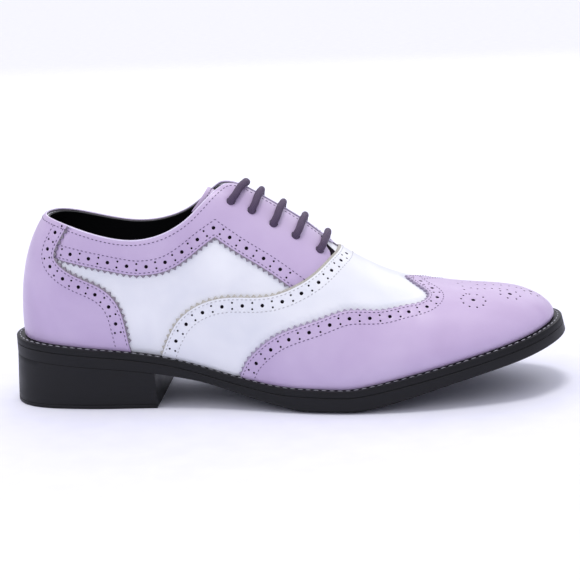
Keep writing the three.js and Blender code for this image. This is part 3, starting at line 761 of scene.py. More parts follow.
def seam_through(above, beside):
    """A seam on the outer side, first through points known from above, in x and y, and then
    through points known from the side, in x and z."""
    here = (cloud[:, 0] < 1) & (cloud[:, 1] > 0.01)
    outer, outer_cloud = cloud_spots[here], cloud[here]
    rows = [
        ((x, y, 0.0), (1, 1, 0)) for x, y in above
    ] + [((x, 0.0, z), (1, 0, 1)) for x, z in beside]
    spots = []
    for target, seen in rows:
        start = outer_cloud[np.argmin((((outer - target) * seen) ** 2).sum(1))]
        place, rise = settle(np.array([target]), start[:1], start[1:], seen)
        if rise[0] > 2e-3:
            spots.append(rib(place, rise)[0])
    spots = np.array(spots)
    arcs = arc_lengths(spots)
    fine = np.linspace(0, arcs[-1], int(arcs[-1] / 0.5))
    dense = np.stack([curve_through(arcs, column)(fine) for column in spots.T], -1)
    starts = [int(np.argmin(((outer - spot) ** 2).sum(1))) for spot in dense]
    place, rise = settle(dense, outer_cloud[starts, 0], outer_cloud[starts, 1])
    over = place > 1
    return Line(np.where(over, 2 - place, place), np.where(over, quarter_turn, rise))


def stretched(points, reach=14.0):
    """A line of the pattern with both its ends drawn out straight."""
    head = points[0] + unit(points[0] - points[4]) * reach
    tail = points[-1] + unit(points[-1] - points[-5]) * reach
    return np.concatenate([head[None], points, tail[None]])


def pattern_of(line):
    return flat(line.place, line.rise)


def pinked(line, fade=None, outside=1):
    """The zigzag edge that a pinking punch cuts, on the line's right, or left if outside is -1.
    Where it has faded its teeth are gone, and the edge is cut plain."""
    count = int(line.length / tooth_pitch)
    pitch = line.length / count
    arcs = np.arange(0, 2 * count) * pitch / 2
    depth = np.tile([0, tooth_depth], count)
    arcs, depth = np.append(arcs, line.length), np.append(depth, 0.0)
    spots, _, _, left = line.at(arcs)
    if fade is not None:
        depth = depth * fade(spots) + plain_depth * (1 - fade(spots))
    place, rise = settle(spots - left * depth[:, None] * outside, *line.guess(arcs))
    return flat(place, rise)


def hole(line, arcs, shift, radius, corners):
    """Round holes beside a line, as corners on the last: one row for each hole."""
    spots, way, _, left = line.at(np.asarray(arcs, float))
    middles = spots + left * shift
    angles = np.linspace(0, 2 * np.pi, corners, endpoint=False)
    along, aside = (radius * wave(angles)[None, :, None] for wave in (np.cos, np.sin))
    ring = middles[:, None] + along * way[:, None] + aside * left[:, None]
    place, rise = line.guess(np.asarray(arcs, float))
    place, rise = np.repeat(place[:, None], corners, 1), np.repeat(rise[:, None], corners, 1)
    place, rise = settle(ring, place, rise)
    return np.stack([place, rise], -1)


def ring_on_last(place, rise, radius, corners):
    """A round hole of the leather round one point of the last."""
    spot, out = rib(place, rise), outward(place, rise)
    way = unit(np.cross([0.0, 1.0, 0.0], out))
    left = np.cross(out, way)
    angles = np.linspace(0, 2 * np.pi, corners, endpoint=False)[:, None]
    ring = spot + radius * (np.cos(angles) * way + np.sin(angles) * left)
    return np.stack(settle(ring, np.full(corners, place), np.full(corners, rise)), -1)


def arc_near(line, x, z):
    """The arc of the line's point nearest to x and z, seen from the side."""
    return line.arcs[np.argmin((line.spots[:, 0] - x) ** 2 + (line.spots[:, 2] - z) ** 2)]


def band_of(line, x, z, before, after, ends=2.5):
    """The holes of a brogue band along the line: big ones, one of them at x and z, with a pair of
    small ones between. before and after are the pitches to each side of that hole."""
    middle = line.beside(band_middle)
    start = arc_near(middle, x, z)
    turns = np.arange(-60, 61) / 2
    arcs = start + turns * np.where(turns < 0, before, after)
    shown = (arcs > 2.5) & (arcs < middle.length - ends)
    big, small = arcs[shown & (turns % 1 == 0)], arcs[shown & (turns % 1 != 0)]
    return [
        *hole(middle, big, 0.0, big_hole, 12), *hole(middle, small, pair_half, small_hole, 8),
        *hole(middle, small, -pair_half, small_hole, 8)
    ]


def mirrored_holes(holes):
    return [np.stack([2 - h[:, 0], h[:, 1]], -1) for h in holes]


foot_line = flat(np.linspace(0, 2, 900, endpoint=False), np.zeros(900))
opening = np.concatenate([pattern_of(rims[0]), pattern_of(rims[1])[::-1]])
far = 600.0


def signed_area(polygon):
    x, y = polygon.T
    return 0.5 * (x * np.roll(y, -1) - y * np.roll(x, -1)).sum()


def panel(
    name, kept, cut, holes, low, high, materials, drop=0.22, tuck=0.3, skives=(), ring=0.5,
    valley=None
):
    """A closed piece of leather: the part of the pattern inside every polygon of kept and outside
    every one of cut. low and high are its faces above the last. Its rim is rounded by drop and
    turned down by tuck. It is thinned under each piece that covers it. Past the valley polygon are
    the teeth, whose faces are cut at a slant and show the raw leather."""
    vertices, edges, hole_of = [], [], []

    def wanted(points):
        answer = np.ones(len(points), bool)
        for polygon in kept:
            answer[answer] = inside(points[answer], polygon)
        for polygon in cut:
            answer[answer] = ~inside(points[answer], polygon)
        return answer

    def draw(polygon, number=-1):
        first, count = len(vertices), len(polygon)
        vertices.extend(polygon)
        hole_of.extend([number] * count)
        edges.extend((first + i, first + (i + 1) % count) for i in range(count))

    hole_flats = [flat(h[:, 0], h[:, 1]) for h in holes]
    hole_flats = [h if signed_area(h) > 0 else h[::-1] for h in hole_flats]
    hole_flats = [h for h in hole_flats if wanted(h).all()]
    rings = []
    for polygon in [*kept, *cut]:
        draw(polygon)
        near = np.abs(polygon).max(1) <= far / 2
        way = unit(np.roll(polygon, -1, axis=0) - np.roll(polygon, 1, axis=0))
        side = ring * np.stack([-way[:, 1], way[:, 0]], -1)
        rings += [(polygon + side)[near], (polygon - side)[near]]
    for number, polygon in enumerate(hole_flats):
        draw(polygon, number)
    if valley is not None:
        draw(valley)
    # Points for the rounded rim, kept apart from each other and from the outlines
    rings = np.concatenate(rings)
    rings = rings[wanted(rings)]
    edge_tree = tree_of(np.array([v for v in vertices if np.abs(v).max() < far / 2]))
    rings = rings[nearest(edge_tree, rings)[1] > 0.7 * ring]
    cells = np.floor(rings / (0.6 * ring)).astype(int)
    rings = rings[np.unique(cells, axis=0, return_index=True)[1]]
    body = cloud_flat[wanted(cloud_flat)]
    if hole_flats:
        middles = np.array([h.mean(0) for h in hole_flats])
        radii = [np.linalg.norm(h - m, axis=1) for h, m in zip(hole_flats, middles)]
        collars = [
            m + (h - m) * (1 + 0.4 / r.mean()) for h, m, r in zip(hole_flats, middles, radii)
        ]
        rings = np.concatenate([rings, *collars])
        number, away = nearest(tree_of(middles), body)
        body = body[away > np.array([r.max() for r in radii])[number] + 0.5]
    body = body[nearest(tree_of(np.concatenate([np.array(vertices), rings])), body)[1] > 0.85]
    hole_of.extend([-1] * (len(rings) + len(body)))
    flats = np.concatenate([np.array(vertices), rings, body])
    result = delaunay_2d_cdt([Vector(p) for p in flats], edges, [], 0, 1e-5)
    points = np.array([tuple(v) for v in result[0]])
    triangles = np.array([t for t in result[2] if len(t) == 3])
    hole_at = np.array([hole_of[o[0]] if o else -1 for o in result[3]])
    numbers = hole_at[triangles]
    in_hole = (numbers >= 0).all(1) & (numbers == numbers[:, :1]).all(1)
    kept_faces = triangles[wanted(points[triangles].mean(1)) & ~in_hole]
    used, kept_faces = np.unique(kept_faces, return_inverse=True)
    kept_faces = kept_faces.reshape(-1, 3)
    points, hole_at, count = points[used], hole_at[used], len(used)
    place, rise = unflat(points)
    spots = rib(place, rise)
    directed = dict.fromkeys(
        pair for a, b, c in kept_faces.tolist() for pair in ((a, b), (b, c), (c, a))
    )
    border = np.array([pair for pair in directed if pair[::-1] not in directed])
    on_border = np.isin(np.arange(count), border)
    rim = on_border & (hole_at < 0)
    # The heights of the upper face
    tops, sunk = np.full(count, float(high)), np.full(count, float(drop))
    for line, cover, thin in skives:
        away = nearest(tree_of(line.spots), spots)[1]
        ramp = thin + (high - thin) * smoothstep(away, 1.4, 3.4)
        tops = np.minimum(tops, np.where(inside(points, cover), thin, ramp))
    raw = np.zeros(len(kept_faces), int)
    if valley is not None:
        past = ~inside(points, valley) & (nearest(tree_of(valley), points)[1] > 0.3)
        sunk = np.where(past, drop + 0.55 * (high - low), sunk)
        tops = np.where(past & ~rim, tops - 0.3 * (high - low), tops)
        raw = (~inside(points[kept_faces].mean(1), valley)).astype(int)
    tops = np.where(rim, np.maximum(tops - sunk, 0.2), tops)
    tops = np.where(on_border & (hole_at >= 0), tops - 0.12, tops)
    bottoms = np.minimum(np.where(rim, low - tuck, float(low)), tops - 0.08)
    corners = np.concatenate([leather(place, rise, tops), leather(place, rise, bottoms)])
    a, b = border.T
    faces = [*kept_faces.tolist(), *(kept_faces[:, ::-1] + count).tolist()]
    faces += np.stack([a + count, b + count, b, a], -1).tolist()
    finishes = np.concatenate([raw, np.ones(len(raw), int), np.where(hole_at[a] < 0, 1, 2)])
    return made(name, corners, faces, materials, finishes, sharp=42)


lavender_calf = smooth_calf("lavender smooth calf", "#c4b0d4", "#bca7cc", "#ccbada", 0.32)
# Fibres of the cut edge, about 0.3 mm
fibres = {"scale": 2600.0, "Roughness": 0.85, "Specular_IOR_Level": 0.25}
raw_edge = two_tone("raw cut leather edge", "#726975", "#a69daa", **fibres)
# The cap's raw edge is the raw edge painted lighter: painted light on teeth that face up
cap_raw_edge_lit = two_tone("raw edge of the cap painted lighter as lit", "#847a92", "#b7abc6", **fibres)
# The sides of the punched holes are painted dark: painted shade inside the holes
punched = two_tone(
    "hole side painted dark as shade", "#2f2339", "#473653", 2600.0, Roughness=0.9, Specular_IOR_Level=0.1
)
# The weave of the black cloth behind the holes, about 0.4 mm. The cloth is painted shade that makes
# the holes read dark.
shade_felt = two_tone(
    "black cloth painted as shade", "#1a141b", "#2a222c", 2000.0, Roughness=0.95, Specular_IOR_Level=0.05
)

# The cap's edge on the outer side, from its peak to the welt
wing = seam_through(
    [
        on_crest(220.3), (227.6, -8.0), (232.8, -17.9), (229.4, -24.7), (220.6, -29.3),
        (206.6, -35.0)
    ],
    [
        (188.5, 52.4), (175.3, 49.3), (162.0, 45.5), (149.4, 40.2), (140.8, 33.7), (134.9, 27.0),
        (132.3, 22.0), (130.7, 18.4)
    ]
)
wing_whole = joined(wing.mirrored(), wing)


def before_line(points):
    """The pattern's part between a line and the toe."""
    return np.concatenate([stretched(points), [[far, -far], [far, far]]])


cap_pattern, cap_edge = before_line(pattern_of(wing_whole)), before_line(pinked(wing_whole))

# The medallion: rings of small holes round big ones, and rows of small holes between them.
# A ring is its centre in x and y, its radius and its number of holes.
side_rings = [((256.4, -18.2), 6.6, 10), ((276.5, -6.9), 5.6, 7)]
tip_ring = ((288.3, 7.2), 5.3, 8)
side_rows = [
    (252.8, -12.1), (251.9, -6.1), (251.2, 0.2), (255.8, -2.4), (259.4, -3.4), (263.3, -2.6),
    (267.3, -1.6), (271.4, -1.0)
]
middle_row = [
    (248.8, 6.2), (259.6, 6.3), (264.0, 6.4), (268.4, 6.4), (272.6, 6.5), (276.8, 6.5), (280.8, 6.5)
]
medallion_big, medallion_small, row_hole = 1.1, 0.58, 0.55


def round_holes(middles, radius, corners):
    """Round holes at places of the toe seen from above."""
    found = []
    for x, y in middles:
        away = ((cloud_spots[:, :2] - (x, y)) ** 2).sum(1)
        start = cloud[np.argmin(away + 1e3 * (cloud[:, 1] < 0.05))]
        place, rise = settle(np.array([[x, y, 0.0]]), start[:1], start[1:], (1, 1, 0))
        found.append(ring_on_last(place[0], rise[0], radius, corners))
    return found


def ring_holes(centre, radius, count):
    """A big hole and its ring of small ones. The ring is round on the leather itself."""
    circle = round_holes([centre], radius, count)[0]
    places_round = rib(circle[:, 0], circle[:, 1])[:, :2]
    return round_holes([centre], medallion_big, 12) + round_holes(places_round, medallion_small, 8)


side_medallion = round_holes(side_rows, row_hole, 8)
for ring_size in side_rings:
    side_medallion += ring_holes(*ring_size)
medallion = side_medallion + mirrored_holes(side_medallion)
medallion += round_holes(middle_row, row_hole, 8) + ring_holes(*tip_ring)
cap_band = band_of(wing, 179.5, 47.4, 10.9, 11.4)
# Heights of the overlays' upper faces above the last
cap_top, overlay_top, stay_top = 1.9, 1.5, 1.2
toe_cap = panel(
    "wing_cap", [foot_line, cap_edge], [], cap_band + mirrored_holes(cap_band) + medallion, 0.64,
    cap_top, [lavender_calf, cap_raw_edge_lit, punched], tuck=0.34, valley=cap_pattern
)
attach(toe_cap, "root")
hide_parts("toe_cap")


def shade_sheet(name, kept, cut, low, high, ring=1.2):
    """The black cloth behind punched holes and slits, so that no white shows through them: a dark
    sheet as painted shade that makes them read dark.
    """
    felts = [shade_felt, shade_felt]
    piece = panel(name, [foot_line, kept], cut, [], low, high, felts, drop=0.0, tuck=0.0, ring=ring)
    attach(piece, "root")


# A strip of it lies between these distances from the edge of the leather
strip_near, strip_far = 1.9, 7.2
# A black sheet behind the cap's holes, painted shade in them
shade_sheet("cap_underlay", before_line(pattern_of(wing_whole.beside(strip_near))), [], 0.47, 0.6)


# Vamp.
# White calf over the ball of the foot. Its rear edge swoops from the throat down the sides and back
# to the waist, with the same punched band. It is thinned where the wing cap lies on it.

beige_edge = two_tone("raw edge of white leather", "#9c9991", "#cecbc4", **fibres)
vamp_seam = seam_through(
    [on_crest(184.4), (183.4, -9.0)],
    [
        (180.4, 76.8), (171.2, 70.4), (160.5, 65.2), (149.7, 62.0), (139.0, 61.2), (128.1, 61.4),
        (115.2, 59.6), (105.0, 55.2), (98.3, 49.9), (91.2, 38.9), (87.2, 29.4), (84.6, 22.0)
    ]
)
vamp_whole = joined(vamp_seam.mirrored(), vamp_seam)


def fading(spots):
    """The vamp's teeth run out towards the throat, where its edge is plain."""
    return smoothstep(-spots[:, 0], -160.0, -146.0)


vamp_edge = before_line(pinked(vamp_whole, fading))
vamp_inset, cap_inset = [
    before_line(pattern_of(line.beside(under_lap))) for line in (vamp_whole, wing_whole)
]
vamp_band = band_of(vamp_seam, 133.1, 57.1, 10.95, 11.3)
vamp_piece = panel(
    "white_vamp", [foot_line, vamp_edge], [cap_inset], vamp_band + mirrored_holes(vamp_band), 0.48,
    overlay_top, [white_calf, beige_edge, punched], tuck=0.42,
    skives=[(wing_whole, cap_edge, 0.44)], valley=before_line(pattern_of(vamp_whole))
)
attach(vamp_piece, "root")
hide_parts("vamp")
vamp_near, vamp_far = [
    before_line(pattern_of(vamp_whole.beside(shift))) for shift in (strip_near, strip_far)
]
shade_sheet("vamp_underlay", vamp_near, [vamp_far], 0.31, 0.45)


# Heel counter.
# A lavender calf piece wraps the back of the heel, from the feather line up to the collar, and its
# front edges carry a punched band.

counter_seam = seam_through(
    [],
    [
        (69.6, 31.6), (69.2, 36.5), (68.4, 42.4), (66.8, 51.4), (63.8, 59.4), (56.7, 67.0),
        (44.0, 73.2), (34.5, 78.6), (30.2, 84.6), (32.6, 91.5), (38.8, 101.0), (44.0, 108.0)
    ]
)


def counter_polygon(shift, cut=pattern_of):
    """The pattern's part behind both front edges, moved in by shift."""
    outer = stretched(cut(counter_seam.beside(shift) if shift else counter_seam))
    return np.concatenate([outer, (outer * [1, -1])[::-1], [[-far, far], [-far, -far]]])


counter_edge, counter_inset = counter_polygon(0, pinked), counter_polygon(under_lap)
counter_band = band_of(counter_seam, 52.3, 64.6, 10.0, 10.0)
counter_piece = panel(
    "heel_counter", [foot_line, counter_edge], [opening],
    counter_band + mirrored_holes(counter_band), 0.48, overlay_top,
    [lavender_calf, raw_edge, punched], tuck=0.42, valley=counter_polygon(0)
)
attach(counter_piece, "root")
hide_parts("counter")
shade_sheet(
    "counter_underlay", counter_polygon(strip_near), [opening, counter_polygon(strip_far)], 0.31,
    0.45
)


# Eyestays.
# The lavender collar and facing of each side are one piece, from under the counter to under the
# vamp. The lower edge peaks below the second eyelet. Five eyelets are punched through the facing.

stay_rear = seam_through(
    [],
    [
        (18.5, 85.2), (30.8, 83.5), (46.8, 80.0), (64.4, 76.2), (74.8, 74.4), (84.0, 74.6),
        (91.0, 75.9), (97.3, 78.5), (103.7, 82.4), (108.1, 85.5), (113.0, 89.1), (118.9, 92.9)
    ]
)
stay_front = seam_through(
    [], [(118.9, 92.9), (131.2, 84.5), (144.5, 76.4), (159.5, 66.0), (169.4, 58.8)]
)
stay_seam = joined(stay_rear, stay_front)
# Eyelets: share of the length at the eyelet, where its lace crosses the crest, share of the width
lace_rows = np.array([
    [0.413, 0.433, 0.15], [0.448, 0.458, 0.155], [0.485, 0.496, 0.168], [0.523, 0.533, 0.176],
    [0.564, 0.572, 0.176]
])
lace_diameter = 4.1
eyelet_radius = lace_diameter / 2 + 0.4


eyelets = []
for at, crossing, reach_share in lace_rows:
    at_place, crest_place = (
        float(solve(crest_x, share * sole_length, places[2], 1.0)) for share in (at, crossing)
    )
    sides = [at_place, 2 - at_place]
    rises = [float(rise_at(np.array(side), reach_share * ball_width)) for side in sides]
    eyelets.append((sides, rises, crest_place))

stay_band = band_of(stay_seam, 118.3, 98.3, 10.65, 10.8, 14.0)
# At the throat the facings end short of the vamp, and a black sheet in the slit between is painted
# shade
facing_end = seam_through([on_crest(172.8), (175.2, -7.7)], [(178.7, 80.6), (181.8, 75.2)])
slit_front = seam_through([on_crest(176.4), (179.4, -7.2)], [(181.4, 80.2), (182.9, 75.0)])
crest_back = np.array([on_crest(x) for x in np.arange(196.0, 60.0, -2.0)])
counter_whole = joined(counter_seam, counter_seam.mirrored())
for side, name in enumerate(["outer", "inner"]):
    away = -1 if side else 1

    def here(line):
        """A line of the outer side on this side, still with its start at the back."""
        return line.mirrored().reversed() if side else line

    middle = crest_back - [0, 0.06 * away]
    close = np.concatenate([middle, [[-40.0, middle[-1, 1]]]])
    end = pattern_of(here(facing_end))
    facing_cut = np.concatenate([end, [[205.0, -30.0 * away], [205.0, middle[0, 1]]]])
    stay_edge = np.concatenate([pinked(here(stay_seam), outside=away), close])
    bare = np.concatenate([pattern_of(here(stay_seam)), middle, [[-40.0, 0.0]]])
    holes = mirrored_holes(stay_band) if side else stay_band
    holes = holes + [ring_on_last(s[side], r[side], eyelet_radius, 20) for s, r, _ in eyelets]
    stay = panel(
        f"eyestay_{name}_leather", [foot_line, stay_edge],
        [opening, vamp_inset, counter_inset, facing_cut], holes, 0.22, stay_top,
        [lavender_calf, raw_edge, punched], tuck=0.17, valley=bare,
        skives=[(vamp_whole, vamp_edge, 0.3), (counter_whole, counter_edge, 0.3)]
    )
    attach(stay, "root")
    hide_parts(f"eyestay_{name}")
    slit = np.concatenate([end, pattern_of(here(slit_front))[::-1]])
    # The slit's black sheet is painted shade in the gap
    shade_sheet(f"throat_slit_shade_{name}", slit, [opening, vamp_inset], 0.03, 0.2, ring=0.5)
    near, deep = (
        np.concatenate([
            pattern_of(here(stay_seam.beside(shift))), close
        ]) for shift in (strip_near, strip_far)
    )
    covers = [opening, vamp_inset, counter_inset, facing_cut, deep]
    shade_sheet(f"eyestay_{name}_underlay", near, covers, 0.04, 0.17)


# Rim bead and seams.
# The collar and facings are folded over at the rim, which leaves a rounded edge, painted pale as
# its highlight.
# Every band is sewn with a row of lockstitch on each side of its holes, and the rim with a row
# further in.

# The bead is painted paler than the lavender calf it is folded from: a painted highlight on the
# rounded edge
highlight_fold = two_tone(
    "folded calf edge painted pale as highlight", "#dcd1ec", "#e7def5", 900.0, Roughness=0.42, IOR=1.5, Coat_Weight=0.15,
    Coat_Roughness=0.25
)


def tube(points, radius, sides):
    """Corners and faces of a round tube along a path."""
    points = np.asarray(points, float)
    count = len(points)
    way = unit(np.gradient(points, axis=0))
    side = unit(np.cross(way[0], [0.0, 0.0, 1.0] if abs(way[0][2]) < 0.9 else [0.0, 1.0, 0.0]))
    angles = np.linspace(0, 2 * np.pi, sides, endpoint=False)[:, None]
    rings = []
    for k, size in enumerate(np.broadcast_to(radius, (count,))):
        side = unit(side - way[k] * (side @ way[k]))
        over = np.cross(way[k], side)
        rings.append(points[k] + size * (np.cos(angles) * side + np.sin(angles) * over))
    index = np.arange(count * sides).reshape(count, sides)
    ahead = np.roll(index, -1, axis=1)
    quads = np.stack([index[:-1], ahead[:-1], ahead[1:], index[1:]], -1).reshape(-1, 4)
    return np.concatenate(rings), [*quads.tolist(), index[0, ::-1].tolist(), index[-1].tolist()]


rim_path = joined(rims[0].reversed(), rims[1])
bead_spots, _, bead_out, bead_left = rim_path.at(np.arange(0, rim_path.length, 0.9))
bead_radius, bead_height, bead_shift = 0.5, 0.75, 0.1
bead_path = bead_spots + bead_out * bead_height + bead_left * bead_shift
bead = made("rim_bead", *tube(bead_path, bead_radius, 10), [highlight_fold], sharp=60)
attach(bead, "root")

# The twist of the threads, about 0.3 mm
plum_thread = two_tone("waxed plum thread", "#403154", "#5a4a71", 3000.0, Roughness=0.6)
grey_thread = two_tone("waxed pale grey thread", "#a9a9ae", "#c6c6ca", 3000.0, Roughness=0.6)
# Pitch, length and width of a stitch
seam_stitch, welt_stitch = (2.4, 1.5, 0.5), (4.3, 3.1, 0.7)


def stitching(name, thread):
    """A tree that lays stitches along lines of a mesh: short squashed beads, one every pitch."""
    tree = bpy.data.node_groups.new(name, "GeometryNodeTree")
    new_socket = tree.interface.new_socket
    new_socket("Geometry", in_out="INPUT", socket_type="NodeSocketGeometry")
    for label in ("Pitch", "Length", "Width"):
        new_socket(label, in_out="INPUT", socket_type="NodeSocketFloat")
    new_socket("Geometry", in_out="OUTPUT", socket_type="NodeSocketGeometry")
    given = add_node(tree, "NodeGroupInput").outputs
    curve = add_node(tree, "GeometryNodeMeshToCurve", {0: given["Geometry"]})
    spacing = {"Curve": curve.outputs[0], "Length": given["Pitch"]}
    even = add_node(tree, "GeometryNodeResampleCurve", spacing, mode="LENGTH")
    tangent = add_node(tree, "GeometryNodeInputTangent")
    out = add_node(
        tree, "GeometryNodeInputNamedAttribute", data_type="FLOAT_VECTOR", values={"Name": "out"}
    )
    align = "FunctionNodeAlignRotationToVector"
    ahead = add_node(tree, align, {"Vector": tangent.outputs[0]}, axis="X")
    upright = {"Rotation": ahead.outputs[0], "Vector": out.outputs["Attribute"]}
    stood = add_node(tree, align, upright, axis="Z", pivot_axis="X")
    bead_shape = add_node(
        tree, "GeometryNodeMeshUVSphere", values={"Segments": 6, "Rings": 4, "Radius": 0.5}
    )
    scales = {"X": given["Length"], "Y": given["Width"], "Z": given["Width"]}
    size = add_node(tree, "ShaderNodeCombineXYZ", scales)
    thing = add_node(
        tree, "GeometryNodeInstanceOnPoints",
        {
            "Points": even.outputs[0], "Instance": bead_shape.outputs["Mesh"],
            "Rotation": stood.outputs[0], "Scale": size.outputs[0]
        }
    )
    for kind in (
        "GeometryNodeRealizeInstances", "GeometryNodeSetShadeSmooth", "GeometryNodeSetMaterial"
    ):
        thing = add_node(tree, kind, {0: thing.outputs[0]})
    thing.inputs["Material"].default_value = thread
    add_node(tree, "NodeGroupOutput", {0: thing.outputs[0]})
    return tree


def sewn(name, rows, thread, sizes):
    """Stitches along rows of points and normals, as one mesh."""
    corners, edges, normals = [], [], []
    for spots, out in rows:
        first = len(corners)
        corners.extend(in_metres(spots))
        normals.extend(out)
        edges.extend((first + i, first + i + 1) for i in range(len(spots) - 1))
    mesh = bpy.data.meshes.new(name)
    mesh.from_pydata([tuple(c) for c in corners], edges, [])
    mesh.attributes.new("out", "FLOAT_VECTOR", "POINT").data.foreach_set(
        "vector", np.ravel(normals)
    )
    guide = linked(name + "_guide", mesh)
    tree = stitching(name + " stitches", thread)
    modifier = guide.modifiers.new("stitches", "NODES")
    modifier.node_group = tree
    keys = {
        item.name: item.identifier for item in tree.interface.items_tree if item.in_out == "INPUT"
    }
    for label, amount in zip(("Pitch", "Length", "Width"), sizes):
        modifier[keys[label]] = amount * 0.001
    depsgraph = bpy.context.evaluated_depsgraph_get()
    result = bpy.data.meshes.new_from_object(guide.evaluated_get(depsgraph))
    guide.modifiers.remove(modifier)
    bpy.data.objects.remove(guide)
    bpy.data.meshes.remove(mesh)
    bpy.data.node_groups.remove(tree)
    result.name = name
    piece = linked(name, result)
    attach(piece, "root")
    return piece


wide_opening = np.concatenate([
    pattern_of(rims[0].reversed().beside(2.2).reversed()), pattern_of(rims[1].beside(2.2))[::-1]
])


def row_at(line, height, clear=()):
    """A row's points and normals, where it isn't under another piece."""
    out = outward(line.place, line.rise)
    spots = line.spots + out * (height + folds(line.spots))[:, None]
    flats = pattern_of(line)
    seen = inside(flats, foot_line) & ~inside(flats, wide_opening)
    for polygon in clear:
        seen &= ~inside(flats, polygon)
    runs = np.split(np.arange(len(spots)), np.flatnonzero(seen[1:] != seen[:-1]) + 1)
    return [(spots[run], out[run]) for run in runs if seen[run[0]] and len(run) > 3]


plum_rows, pale_rows = [], []
for shift in (row_near, row_far):
    plum_rows += row_at(wing_whole.beside(shift), cap_top)
    pale_rows += row_at(vamp_whole.beside(shift), overlay_top, [cap_edge])
    for seam, height, clear in (
        (counter_seam, overlay_top, []), (stay_seam, stay_top, [counter_edge, vamp_edge])
    ):
        line = seam.beside(shift)
        plum_rows += row_at(line, height, clear) + row_at(line.mirrored(), height, clear)
# The rim's row stands on the counter at the back and on the eyestays in front
rim_row_inset, rim_row_end = 2.5, 173.0
for line in (rims[0].reversed().beside(rim_row_inset), rims[1].beside(rim_row_inset)):
    flats = pattern_of(line)
    out = outward(line.place, line.rise)
    heights = np.where(inside(flats, counter_edge), overlay_top, stay_top) + folds(line.spots)
    keep = ~inside(flats, vamp_edge) & (line.spots[:, 0] < rim_row_end)
    plum_rows.append(((line.spots + out * heights[:, None])[keep], out[keep]))
plum_seams = sewn("plum_stitches", plum_rows, plum_thread, seam_stitch)
pale_seams = sewn("pale_stitches", pale_rows, grey_thread, seam_stitch)


# Tongue.
# A lavender calf strip with a black lining under the facings. Its top is cut round and has one row
# of stitches near the edge.

tongue_start, tongue_end, tongue_half = 0.367 * sole_length, throat_x + 12.0, 20.0


def tongue_point(share, across, depth):
    """A point of the tongue: share from its top to its base, across from -1 to 1."""
    # The end lies aslant: it falls back on the outer side and comes forward on the inner one
    start = tongue_start - np.where(across < 0, 7.0 * np.abs(across) ** 3, -4.0 * across)
    x = start + (tongue_end - start) * share
    crest = np.array([solve(crest_x, value, places[2], 1.0) for value in x])
    place = np.where(across > 0, 2 - crest, crest)
    rise = rise_at(place, np.abs(across) * tongue_half)
    rise = np.where(np.abs(across) < 1e-6, quarter_turn, rise)
    return leather(place, rise, depth)


def tongue_sink(share):
    """How deep the tongue lies: its end springs up a little."""
    reach = share * (tongue_end - tongue_start)
    return 3.9 + 1.8 * smoothstep(reach, 0.0, 5.0) - 3.5 * smoothstep(reach, 9.0, 40.0)


columns, tongue_rows, tongue_thickness, edge_round = 24, 40, 1.5, 0.35
grid_share = np.repeat(np.linspace(0, 1, tongue_rows + 1) ** 1.6, columns + 1)
grid_across = np.tile(np.linspace(-1, 1, columns + 1), tongue_rows + 1)
edge_drop = edge_round * (np.abs(grid_across) > 0.99) + edge_round * (grid_share < 0.001)
sink = tongue_sink(grid_share)
face = tongue_point(grid_share, grid_across, -sink - edge_drop)
back_face = tongue_point(grid_share, grid_across, -sink - tongue_thickness)
index = np.arange(len(face)).reshape(tongue_rows + 1, columns + 1)
quads = np.stack(
    [index[:-1, :-1], index[:-1, 1:], index[1:, 1:], index[1:, :-1]], -1
).reshape(-1, 4)
# Round the border, down the outer side first
border = np.concatenate([index[:-1, 0], index[-1, :-1], index[:0:-1, -1], index[0, :0:-1]])
ahead = np.roll(border, -1)
sides = np.stack([border + len(face), ahead + len(face), ahead, border], -1)
tongue_faces = np.concatenate([quads[:, ::-1], quads + len(face), sides])
tongue_finishes = np.repeat([0, 1, 0], [len(quads), len(quads), len(sides)])
tongue_piece = made(
    "tongue_leather", np.concatenate([face, back_face]), tongue_faces.tolist(),
    [lavender_calf, lining_hide], tongue_finishes
)
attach(tongue_piece, "root")
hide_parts("tongue")

stitch_across = np.linspace(-0.93, 0.93, 90)
stitch_share = np.full(90, 2.4 / (tongue_end - tongue_start))
stitch_spots, below = (
    tongue_point(
        stitch_share, stitch_across, height - tongue_sink(stitch_share)
    ) for height in (0.05, -1.0)
)
tongue_rows_sewn = [(stitch_spots, unit(stitch_spots - below))]
tongue_seam = sewn("tongue_stitches", tongue_rows_sewn, plum_thread, seam_stitch)


# Lace.
# A round waxed cotton lace with a braided cover. It crosses the crest in five straight bars, and
# between them runs under the facings from eyelet to eyelet.

mauve_lace, lace_tree, lace_shader = finish(
    "waxed mauve braid", Base_Color=linear("#5f4e6b"), Roughness=0.62, Specular_IOR_Level=0.35
)
lace_uv = add_node(lace_tree, "ShaderNodeTexCoord").outputs["UV"]
# Two sets of strands cross at a slant. A strand is about 0.5 mm wide.
strands = []
for slant in (1, -1):
    turned = {"Rotation": (0.0, 0.0, slant * math.radians(38))}
    mapped = add_node(lace_tree, "ShaderNodeMapping", {"Vector": lace_uv}, values=turned)
    strand = add_node(
        lace_tree, "ShaderNodeTexWave", {"Vector": mapped.outputs[0]}, wave_profile="SIN",
        values={"Scale": 0.55, "Distortion": 0.4, "Detail": 1.0}
    )
    strands.append(strand.outputs["Fac"])
braid = add_node(
    lace_tree, "ShaderNodeMath", dict(enumerate(strands)), operation="MAXIMUM"
).outputs[0]
# The colour follows the braid's height: the grooves between the strands are painted dark as shade,
# the strand tops lighter
toned(lace_tree, lace_shader, braid, (0.25, "#2c2037"), (0.95, "#665571"))
lace_tree.links.new(bump(lace_tree, braid, 0.9, 0.00025), lace_shader.inputs["Normal"])

